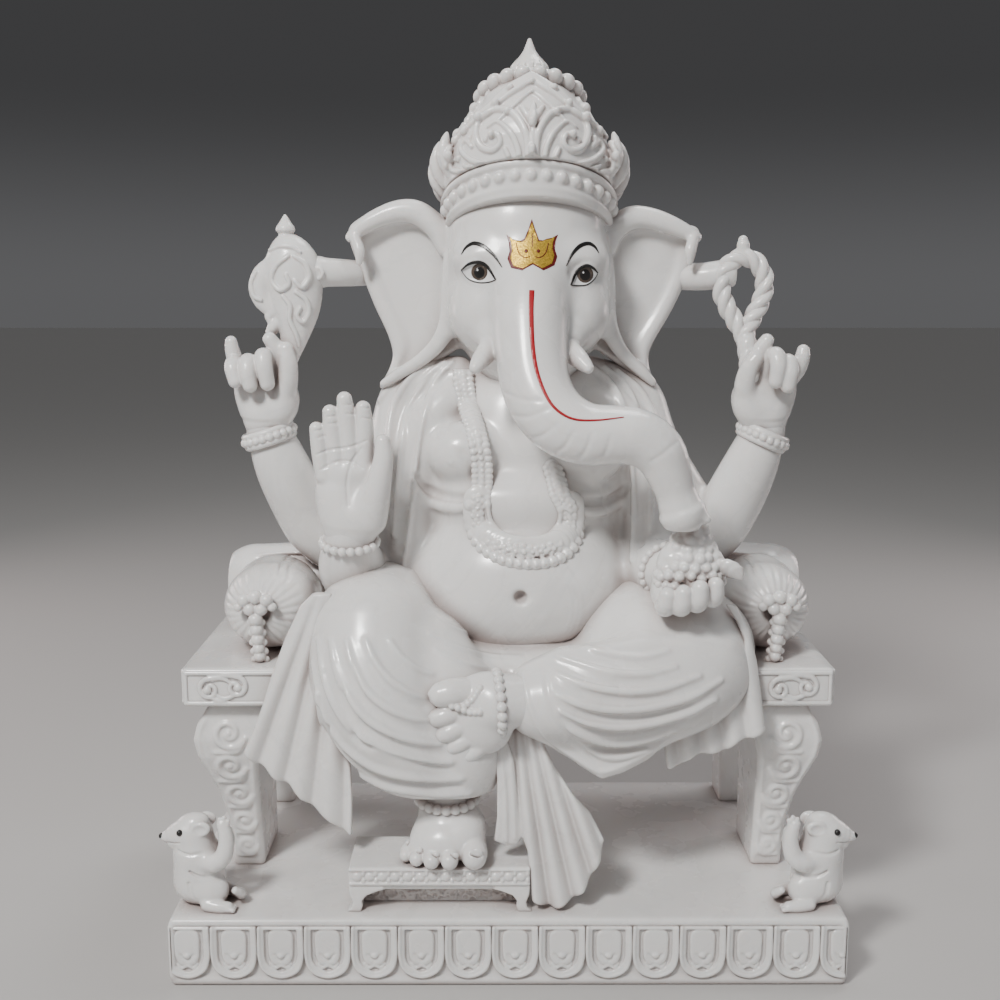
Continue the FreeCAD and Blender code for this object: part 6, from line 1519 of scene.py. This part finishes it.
    # nothing of the legs goes into the seat slab or below the cloth's edge
    c.box((-220, -61.5, 100), (220, 120, 190.3), 0.5, 0.0, "cut")
    split_clay(c, {HANG: ("hanging_leg_carved", "hanging_leg"), THIGH: ("folded_thigh_carved", "folded_thigh"), SHIN: ("folded_shin_carved", "folded_shin")}, MARBLE)

    # feet
    f = Clay((-76, -116, 72), (-4, -50, 136), 0.55)
    f.tube([(-40, -72, 132, 17), (-39, -72, 118, 16.4), (-38.6, -72, 106, 17), (-38.2, -73, 94, 20)], 3)
    f.egg((-38.2, -72, 85), (17, 15, 12), 5)
    f.egg((-38.4, -84, 88), (23, 17, 12), 6)
    f.egg((-38.6, -90, 83), (25, 12, 8), 5)
    f.egg((-27, -80, 93), (12, 16, 10), 6)
    for T in (
        [(-23.4, -91, 83, 9.0), (-21.8, -97, 82, 8.8), (-21.2, -102, 81.4, 7.6)],
        [(-36.2, -93, 82, 6.4), (-36.4, -99, 80.8, 6.2), (-36.4, -104, 79.8, 5.4)],
        [(-46.2, -92, 81.4, 6.0), (-47.2, -98, 80.2, 5.8), (-47.6, -102.8, 79.2, 5.0)],
        [(-54.8, -89, 81.0, 5.5), (-56.4, -94.6, 79.8, 5.3), (-57.0, -99, 78.9, 4.6)],
        [(-61.6, -85, 80.8, 4.8), (-63.6, -90, 79.4, 4.6), (-64.2, -93.6, 78.6, 4.0)],
    ):
        f.tube(T, 0.9, step=2)
    f.soft(1)
    for u, v, w in ((477, 853, 4.4), (455, 856, 3.0), (436, 855, 2.7), (420, 851, 2.4), (408, 843, 2.1)):
        p = f.hit(u, v)
        if p is not None:
            f.egg(p, (w, 1.6, w * 0.86), 0.3, "cut")
            f.egg(p + A([0, 0.9, -0.2]), (w * 0.84, 1.7, w * 0.72), 0.2)
    f.half((0, 0, 73.6), (0, 0, -1))
    finish_clay(f, "planted_foot_carved", "planted_foot", MARBLE, 0.0, soft=0)
    f = Clay((-58, -118, 138), (36, -68, 206), 0.55)
    f.tube([(32, -88, 178, 17), (16, -91, 178.5, 16), (2, -93.5, 179, 16.5), (-8, -95, 178.5, 18)], 3)
    f.egg((-16, -95, 177), (20, 12, 20), 6)
    f.egg((-21, -96, 168), (18, 11, 21), 7)
    f.egg((-14, -96, 160), (15, 10, 13), 6)
    for T in (
        [(-28, -98, 186, 9.0), (-35, -100.5, 186.4, 8.8), (-41, -101.5, 185.6, 7.6)],
        [(-32, -100, 174.5, 6.6), (-38.5, -102, 172.6, 6.4), (-43.6, -102.5, 171.2, 5.6)],
        [(-29, -100.5, 165.5, 6.2), (-35, -102.5, 162.8, 6.0), (-39.6, -103, 161.0, 5.3)],
        [(-24.5, -100.5, 158, 5.8), (-29.8, -102, 154.8, 5.6), (-33.8, -102.5, 153.0, 4.9)],
        [(-17, -100, 152.5, 5.4), (-21.2, -101, 149.0, 5.2), (-24.4, -101.5, 147.0, 4.5)],
    ):
        f.tube(T, 0.8, step=2)
    f.soft(1)
    for x, y, z, w in ((-45.6, -105.6, 187, 3.2), (-47, -105.4, 172, 2.4), (-43, -105.6, 161.4, 2.2), (-37, -104.6, 153.2, 2.0), (-27, -103.4, 147.2, 1.8)):
        f.egg((x, y + 1.2, z), (w, 1.6, w), 0.3)
    # chain over the instep
    for L in ([(480, 688, 1.2), (472, 700, 1.2), (463, 706, 1.2), (452, 706, 1.2)], [(480, 712, 1.2), (470, 712, 1.2), (458, 708, 1.2)]):
        P_ = [f.hit(u, v) for u, v, r in L]
        P_ = [p for p in P_ if p is not None]
        if len(P_) > 2:
            for p in spline(P_, step=4.2):
                f.egg(p, 2.2, 0.4)
    finish_clay(f, "crossed_foot_carved", "crossed_foot", MARBLE, 0.0, soft=0)


# ================================================================== hanging cloth
def cloth(name, node, outline_uv, y_of, half, pleats, block, h=0.75, creases=(), k=2.2, edge=()):
    """A hanging panel seen from the front: an outline in the view, its depth, and pleats down its face."""
    out = [at(u, v, y)[[0, 2]] for u, v, y in outline_uv]
    c = Clay(block[0], block[1], h)
    c.plate(out, y_of, half, 0, rnd=min(2.0, half * 0.7) if not callable(half) else 2.0)
    c.soft(1)
    for L in edge:
        c.trace(L, 1.0, "add", lift=0.3)
    c.soft(1)
    return c


def build_cloth():
    c = cloth("side_drape_right", None,
              [(330, 575, -62), (318, 588, -64), (300, 606, -68), (284, 640, -72), (272, 672, -76), (262, 706, -78), (252, 734, -78), (244, 752, -78), (254, 762, -78), (266, 766, -78), (276, 780, -80), (290, 784, -80), (300, 798, -82), (312, 806, -82), (328, 820, -84), (345, 832, -84), (352, 838, -84), (352, 800, -84), (350, 770, -84), (338, 740, -84), (330, 700, -84), (324, 660, -80), (334, 620, -70)],
              lambda X, Z: -71.5 + 0.10 * (Z - 170) - 5.4 * np.clip((246 - Z) / 60, 0.15, 1) * np.abs(np.sin(np.arctan2(X + 100, 292 - Z) * math.pi / 0.108 + 0.5)), 3.6,
              [[(312, 606, .8), (300, 650, 1.7), (288, 710, 2.2), (280, 776, 2.2)], [(322, 620, .8), (314, 670, 1.7), (306, 730, 2.2), (302, 796, 2.2)], [(326, 660, .8), (326, 710, 1.6), (326, 760, 2.0), (330, 818, 2.0)], [(296, 640, .8), (276, 700, 1.7), (258, 756, 2.0)], [(338, 760, .8), (344, 800, 1.6), (348, 832, 1.6)]],
              ((-178, -100, 76), (-94, -52, 240)), 0.8,
              [[(306, 630, .8), (294, 680, 1.6), (284, 740, 2.0), (272, 772, 1.8)], [(320, 650, .8), (312, 700, 1.6), (306, 750, 2.0), (292, 788, 1.8)], [(328, 700, .8), (330, 750, 1.4), (338, 800, 1.6)]])
    finish_clay(c, "side_drape_right_carved", "side_drape_right", MARBLE, 0.0)
    c = cloth("side_drape_left", None,
              [(722, 600, -58), (735, 604, -60), (748, 628, -62), (756, 660, -66), (761, 700, -68), (764, 728, -70), (752, 736, -72), (738, 738, -72), (728, 748, -74), (708, 752, -74), (696, 754, -76), (680, 764, -76), (666, 768, -76), (664, 740, -78), (700, 722, -80), (728, 700, -80), (742, 670, -76), (744, 640, -70), (734, 618, -62)],
              lambda X, Z: -70.5 + 0.10 * (Z - 165) - 4.2 * np.clip((246 - Z) / 50, 0.15, 1) * np.abs(np.sin((X + 0.18 * (Z - 165)) * math.pi / 15.0 + 0.6)), 3.6,
              [[(744, 640, .8), (746, 680, 1.8), (740, 734, 2.2)], [(733, 690, .8), (726, 720, 1.7), (720, 748, 2.0)], [(756, 670, .8), (758, 700, 1.6), (760, 728, 1.6)], [(708, 712, .8), (702, 730, 1.6), (696, 752, 1.8)], [(684, 728, .8), (680, 745, 1.5), (674, 764, 1.6)]],
              ((94, -100, 118), (180, -48, 244)), 0.8,
              [[(750, 660, .8), (752, 700, 1.6), (750, 734, 1.8)], [(738, 690, .8), (733, 715, 1.5), (730, 744, 1.6)], [(718, 708, .8), (712, 730, 1.5), (708, 750, 1.6)], [(696, 722, .7), (690, 740, 1.3), (686, 760, 1.3)]])
    finish_clay(c, "side_drape_left_carved", "side_drape_left", MARBLE, 0.0)
    # the cloth between the legs: a short flap and a long fan of pleats
    fan = [(505, 726, -84), (500, 750, -84), (510, 790, -86), (520, 830, -88), (527, 846, -90), (530, 875, -94), (532, 901, -98), (545, 906, -98), (556, 909, -98), (572, 900, -97), (584, 890, -96), (592, 874, -94), (600, 858, -92), (604, 838, -90), (590, 812, -88), (572, 790, -86), (556, 768, -85), (545, 745, -84), (542, 728, -84)]
    c = cloth("front_drape", None, fan, lambda X, Z: -84 + 0.0765 * (Z - 150) - 6.6 * np.clip((186 - Z) / 90, 0.2, 1) * np.abs(np.sin(np.arctan2(X + 3, 238 - Z) * math.pi / 0.078 + 0.3)), 3.6,
              [[(512, 742, .9), (518, 780, 1.7), (528, 830, 2.3), (538, 870, 2.7), (541, 902, 2.4)], [(519, 742, .9), (530, 785, 1.8), (544, 832, 2.4), (556, 872, 2.8), (562, 903, 2.4)], [(527, 742, .9), (540, 785, 1.8), (558, 830, 2.4), (574, 864, 2.8), (581, 888, 2.2)], [(534, 742, .9), (550, 782, 1.8), (570, 818, 2.3), (589, 846, 2.5), (597, 858, 2.0)], [(541, 746, .9), (560, 784, 1.6), (582, 815, 2.0), (600, 838, 1.8)]],
              ((-14, -112, 42), (72, -68, 164)), 0.65,
              [[(515, 760, .8), (523, 800, 1.6), (534, 850, 2.1), (541, 890, 2.0)], [(524, 760, .8), (537, 805, 1.6), (551, 850, 2.1), (560, 888, 2.0)], [(532, 760, .8), (549, 805, 1.6), (568, 845, 2.1), (580, 876, 2.0)], [(540, 762, .8), (560, 800, 1.5), (580, 830, 1.9), (594, 852, 1.6)]], k=1.6)
    flap = [at(u, v, y)[[0, 2]] for u, v, y in ((492, 738, -92), (497, 780, -93), (497, 820, -94), (494, 842, -94), (505, 846, -94), (518, 845, -94), (522, 838, -94), (518, 800, -93), (514, 760, -92), (506, 736, -91))]
    c.plate(flap, lambda X, Z: -90.5 + 0.0 * X, 3.0, 0.8, rnd=1.4)
    for L in ([(500, 750, .6), (505, 790, 1.2), (506, 840, 1.4)], [(509, 750, .6), (513, 790, 1.1), (515, 838, 1.3)]):
        c.trace(L, 1.4, "add", lift=-0.2)
    c.half((0, 0, 44.2), (0, 0, -1))
    finish_clay(c, "front_drape_carved", "front_drape", MARBLE, 0.0)


# ================================================================== what the rear hands hold
def build_attributes():
    c = Clay((-172, -22, 360), (-112, 24, 477), 0.55)
    body = [(-146.5, -5, 362, 4.4), (-145, -5, 374, 4.8), (-142.5, -4, 384, 6.0), (-140.2, -3, 394, 8.4), (-138.6, -2, 404, 11.2), (-138.0, -1, 414, 14.6), (-138.2, 0, 424, 17.0), (-139.0, 0, 434, 18.2), (-140.2, 0, 442, 17.6), (-141.6, 0, 448.5, 14.0), (-142.8, 0, 453, 10.0), (-143.4, 0, 456.5, 6.0)]
    c.tube(body, 0, flat=(0, 1, 0, 0.78))
    c.tube([(-151.5, -1, 441, 8), (-158, -1, 436, 8.2), (-161.4, -1, 428, 7.6), (-159, -1, 420, 6.8), (-153.5, -1, 415, 6.2)], 2.4, flat=(0, 1, 0, 0.7))
    c.tube([(-149, -2, 406, 4.6), (-153.5, -2, 402, 4.2), (-155.5, -2, 397.5, 3.0), (-153, -2, 394.5, 2.2)], 1.4)
    c.tube([(-152, -2, 413, 3.0), (-155.8, -2, 409.5, 3.0), (-153.6, -2, 405.5, 2.4)], 1.2)
    c.tube([(-146.5, 0, 459.5, 2.2), (-143.8, -3, 459.4, 2.8), (-141, 0, 459.5, 2.2)], 0.8)
    c.lathe((-144, 0), [(0, 452), (7.0, 453), (8.2, 455.6), (7.0, 457.8), (4.6, 459), (5.4, 460.4), (4.6, 461.8), (4.4, 462.6), (6.4, 464.6), (6.0, 467), (3.8, 470), (2.0, 473), (0.5, 475.4), (0, 475.6)], 0.5)
    c.soft(1)
    for L in (
        [(288, 256, .9), (276, 266, 1.3), (272, 280, 1.3), (280, 290, 1.2), (289, 284, 1.1), (286, 275, 1.0)],
        [(294, 256, .9), (305, 264, 1.3), (309, 277, 1.3), (302, 287, 1.2), (295, 281, 1.0)],
        [(296, 292, 1.0), (306, 300, 1.2), (309, 312, 1.2), (303, 322, 1.1), (297, 316, 1.0), (300, 308, .9)],
        [(283, 296, 1.0), (290, 306, 1.2), (290, 320, 1.2), (296, 334, 1.1), (299, 346, .8)],
        [(256, 272, .8), (251, 284, 1.1), (254, 296, 1.1), (261, 300, .9)],
        [(270, 250, .9), (280, 246, 1.1), (292, 247, 1.1), (300, 252, .9)],
    ):
        c.trace([(u, v, r * 1.35) for u, v, r in L], 0.7, "add", lift=0.5)
    finish_clay(c, "axe_carved", "axe", MARBLE, 0.0, soft=0)
    # noose: three strands laid up and bent into an eye
    c = Clay((124, -26, 366), (186, 20, 466), 0.5)
    path = [(157.0, -13, 372), (156.2, -9, 384), (155.2, -5, 394), (151.2, -3, 402.5), (145.8, -2, 411), (141.0, -2, 420), (138.6, -2, 429.5), (140.4, -2, 438.6), (146.0, -2, 445.4), (153.4, -2, 447.8), (160.6, -2, 445.0), (165.6, -2, 438.0), (167.0, -2, 429.0), (165.0, -2, 419.5), (161.0, -2.5, 411), (157.0, -3.5, 403), (155.2, -5, 396), (157.2, -9.5, 386)]
    S = spline(path, step=1.4)
    T = np.gradient(S, axis=0)
    T /= np.linalg.norm(T, axis=1)[:, None]
    L = np.r_[0, np.cumsum(np.linalg.norm(np.diff(S, axis=0), axis=1))]
    n1 = np.tile(A([0.0, 1.0, 0.0]), (len(S), 1))
    n1 -= T * (n1 * T).sum(1)[:, None]
    n1 /= np.linalg.norm(n1, axis=1)[:, None]
    n2 = np.cross(T, n1)
    for j in range(3):
        a = 2 * math.pi * (L / 30.0 + j / 3.0)
        pts = S + (n1 * np.cos(a)[:, None] + n2 * np.sin(a)[:, None]) * 3.0
        c.tube([tuple(p) + (3.35,) for p in pts], 0.5, smooth=False)
    c.tube([(152.6, -2, 450, 3.6), (152.4, -2, 455.5, 4.2), (152.2, -2, 458.5, 3.2)], 1.0)
    c.tube([(156.4, -7, 392, 6.2), (157.4, -10, 380, 6.0), (158.6, -13, 371, 4.6)], 1.4)
    finish_clay(c, "noose_carved", "noose", MARBLE, 0.0, soft=0)
    # carved struts that carry the attributes from the ears
    c = Clay((-132, -12, 420), (-84, 24, 456), 0.7)
    c.tube([(-127, 3, 438.2, 11.4), (-120, 4, 438.2, 9.6), (-111, 6, 438.0, 9.0), (-103, 11, 437.8, 8.6), (-96, 17, 437.6, 8.0)], 0)
    c.tube([(-121.5, -6.6, 434, 1.2), (-119.5, -7.2, 437.6, 1.3), (-121.5, -6.8, 441.2, 1.2), (-124.5, -6, 440.5, 1.2), (-125.2, -6, 437, 1.2), (-123.5, -6.4, 434, 1.2)], 0.6)
    finish_clay(c, "axe_strut_carved", "axe_strut", MARBLE, 0.0)
    c = Clay((106, -12, 418), (148, 24, 456), 0.7)
    c.tube([(110, 17, 435.4, 8.0), (119, 10, 435.4, 8.8), (129, 5, 435.6, 9.0), (138, 3, 436.6, 9.2), (143, 2, 437.4, 9.4)], 0)
    finish_clay(c, "noose_strut_carved", "noose_strut", MARBLE, 0.0)


# ================================================================== mice
def build_mouse(name, node, ox, s):
    c = Clay((min(ox - s * 32, ox + s * 30), -112, 43.4), (max(ox - s * 32, ox + s * 30), -56, 112), 0.5)

    def M(x, y, z, *r):
        return (ox + s * x, -84 + y, z) + r
    c.egg(M(-5.5, 0, 58), (16.5, 14.5, 15), 0)
    c.egg(M(-5.5, -1, 71), (15.6, 13.6, 14), 6)
    c.egg(M(-7, -2, 81), (13.6, 12, 11), 6)
    c.egg(M(-8, -2.5, 91), (12.5, 10.8, 10.6), 5)
    c.tube([M(-14, -3.5, 91.4, 8.2), M(-19.5, -4.4, 90.2, 6.0), M(-23, -5.0, 89.4, 4.2), M(-25.4, -5.4, 89.4, 2.8)], 3.5)
    c.tube([M(-15, -4, 84.6, 5.0), M(-20, -5, 84.6, 3.2)], 2.0, smooth=False)
    c.egg(M(-6, -3, 99.5), (8, 6, 4.5), 4)
    # ears, laid back against the head
    for y in (-10.6, 5.6):
        c.egg(M(-1.2, y, 96.5), (6.2, 2.6, 4.8), 1.6)
        c.egg(M(-1.6, y - 2.0 if y < 0 else y + 2.0, 96.4), (4.0, 1.3, 2.8), 1.4, "cut")
    # forelegs raised beside the head
    c.tube([M(0, -9, 75, 6.0), M(7, -12, 75, 6.0), M(12.4, -12, 79, 5.6), M(14.6, -11, 87, 5.0), M(13.8, -10, 94, 4.4), M(12.0, -9.4, 99, 3.6)], 2.2)
    c.tube([M(0, 6, 76, 5.0), M(8, 4, 77, 4.8), M(13, 1, 83, 4.2), M(13.4, -2, 91, 3.6)], 2.2)
    for z, x in ((102.5, 10.6), (103.6, 13.4), (101.5, 15.8)):
        c.tube([M(x * .5 + 6.6, -9.6, 97, 1.8), M(x, -9.8, z, 1.5)], 0.5, smooth=False)
    # haunch, foot with toes, curled tail
    c.egg(M(3, -8, 55), (11.5, 7.5, 10.5), 3)
    c.tube([M(2, -13, 47.8, 4.6), M(9, -14.6, 47.0, 4.2), M(15, -15, 46.6, 3.6)], 1.6)
    for d in (-2.0, 0, 2.0):
        c.tube([M(14.5, -15 + d, 46.6, 1.8), M(18.6, -15.2 + d * 1.3, 46.0, 1.6)], 0.5, smooth=False)
    c.tube([M(8, 8, 48, 4.2), M(15, 5, 48.4, 3.8), M(20, -1, 49, 3.4), M(21.6, -7, 52, 3.0), M(19, -11, 56, 2.4)], 1.6)
    # muzzle line, brow, and body creases
    c.soft(1)
    if True:
        c.tube([M(-25, -7, 87, .35), M(-20, -9.4, 87, .5), M(-14, -12.2, 88, .4)], 0.5, "cut")
        c.tube([M(-9, -14, 62, .7), M(-8, -15, 54, 1.1), M(-3, -15.8, 47.5, .9)], 1.8, "cut")
        c.tube([M(-8, -13.6, 70, .7), M(-2, -14.2, 66.4, 1.0), M(6, -13.4, 65.6, .8)], 1.6, "cut")
        c.tube([M(-15, -11.4, 82.5, .4), M(-8, -14.2, 81, .6), M(0, -13.4, 82, .4)], 1.8, "cut")
    c.box((-300, -120, 40), (300, -50, 44.15), 0.1, 0, "cut")
    finish_clay(c, name, node, MARBLE, 0.0, soft=0)
    # painted eye and nose tip
    for y, tag in ((-11.9, "front"), (6.2, "back")):
        me = bpy.data.meshes.new(name + "_eye_" + tag)
        import bmesh
        bm = bmesh.new()
        bmesh.ops.create_uvsphere(bm, u_segments=20, v_segments=12, radius=0.0020)
        bm.to_mesh(me)
        bm.free()
        for p in me.polygons:
            p.use_smooth = True
        me.transform(__import__("mathutils").Matrix.Translation(Vector(M(-14.0, y, 94.6)[:3]) / 1000))
        show(me, name + "_eye_" + tag, None, BLACK, slot=None)
    me = bpy.data.meshes.new(name + "_nose")
    bm = bmesh.new()
    bmesh.ops.create_uvsphere(bm, u_segments=20, v_segments=12, radius=0.0019)
    bm.to_mesh(me)
    bm.free()
    for p in me.polygons:
        p.use_smooth = True
    me.transform(__import__("mathutils").Matrix.Translation(Vector(M(-26.8, -5.9, 90.0)[:3]) / 1000))
    show(me, name + "_nose", None, BLACK, slot=None)


# ================================================================== run
import time
T0 = time.time()
for step in (build_plinth, build_seat,
             lambda: build_leg("throne_leg_front_right_carved", "throne_leg_front_right", -1, False),
             lambda: build_leg("throne_leg_front_left_carved", "throne_leg_front_left", 1, False),
             lambda: build_leg("throne_leg_rear_right_carved", "throne_leg_rear_right", -1, True),
             lambda: build_leg("throne_leg_rear_left_carved", "throne_leg_rear_left", 1, True),
             build_stool, build_cushions, build_head, build_crown, build_torso, build_hands, build_bangles, build_legs, build_cloth, build_attributes,
             lambda: build_mouse("mouse_right_carved", "mouse_right", -190, 1),
             lambda: build_mouse("mouse_left_carved", "mouse_left", 190, -1)):
    t = time.time()
    step()
    print("%-20s %.1f s" % (getattr(step, "__name__", "step"), time.time() - t))
print("modelling %.1f s" % (time.time() - T0))

# ================================================================== floor, lights, camera
def stage_material():
    m = bpy.data.materials.new("studio_floor")
    m.use_nodes = True
    b = m.node_tree.nodes["Principled BSDF"]
    b.inputs["Base Color"].default_value = (0.52, 0.51, 0.50, 1)
    b.inputs["Roughness"].default_value = 0.7
    return m


bpy.ops.mesh.primitive_plane_add(size=30, location=(0, 0, -0.0002))
floor = bpy.context.object
floor.name = "floor"
floor.data.materials.append(stage_material())
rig.stage(floor)


def area(name, loc, target, size, power, color=(1, 1, 1), sy=None):
    d = bpy.data.lights.new(name, "AREA")
    d.energy, d.color, d.size = power, color, size
    if sy:
        d.shape, d.size_y = "RECTANGLE", sy
    o = bpy.data.objects.new(name, d)
    o.location = loc
    o.rotation_euler = (Vector(target) - Vector(loc)).to_track_quat("-Z", "Y").to_euler()
    bpy.context.scene.collection.objects.link(o)


area("key", (-0.62, -1.05, 1.35), (0, 0, 0.28), 0.26, 25, (1.0, 0.985, 0.96))
area("fill", (1.4, -1.3, 0.8), (0, 0, 0.28), 0.6, 2.2, (0.95, 0.97, 1.0))
area("top", (0.35, 0.35, 1.5), (0, 0, 0.3), 0.5, 6)
area("rim_l", (-1.2, 0.7, 0.6), (0, 0, 0.35), 0.5, 3.6, (1.0, 0.84, 0.83))
area("rim_r", (1.2, 0.7, 0.6), (0, 0, 0.35), 0.5, 3.6, (1.0, 0.84, 0.83))
sun = bpy.data.objects.new("sun", bpy.data.lights.new("sun", "SUN"))
sun.data.energy, sun.data.angle = 0.65, 0.45
sun.rotation_euler = (math.radians(42), math.radians(-24), 0)
bpy.context.scene.collection.objects.link(sun)
w = bpy.data.worlds.new("studio")
bpy.context.scene.world = w
w.use_nodes = True
w.node_tree.nodes["Background"].inputs[0].default_value = (0.60, 0.60, 0.62, 1)
bg = w.node_tree.nodes["Background"]
tc, sp, mr = (w.node_tree.nodes.new(k) for k in ("ShaderNodeTexCoord", "ShaderNodeSeparateXYZ", "ShaderNodeMapRange"))
mr.interpolation_type = "SMOOTHSTEP"
for i, val in ((1, 0.0), (2, 0.16), (3, 0.186), (4, 0.085)):
    mr.inputs[i].default_value = val
w.node_tree.links.new(tc.outputs["Generated"], sp.inputs[0])
w.node_tree.links.new(sp.outputs[2], mr.inputs[0])
w.node_tree.links.new(mr.outputs[0], bg.inputs[1])

cam = bpy.data.objects.new("camera", bpy.data.cameras.new("camera"))
cam.location = CAM / 1000
cam.rotation_euler = (math.pi / 2 - PITCH, 0, -YAW)
cam.data.sensor_width = 36
cam.data.lens = 36 * FOC / 1000
bpy.context.scene.collection.objects.link(cam)
bpy.context.scene.camera = cam

BOX1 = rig.bounds()
json.dump({"cad": [list(map(float, b)) for b in BOX0], "visual": [list(map(float, b)) for b in BOX1]}, open("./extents.json", "w"))
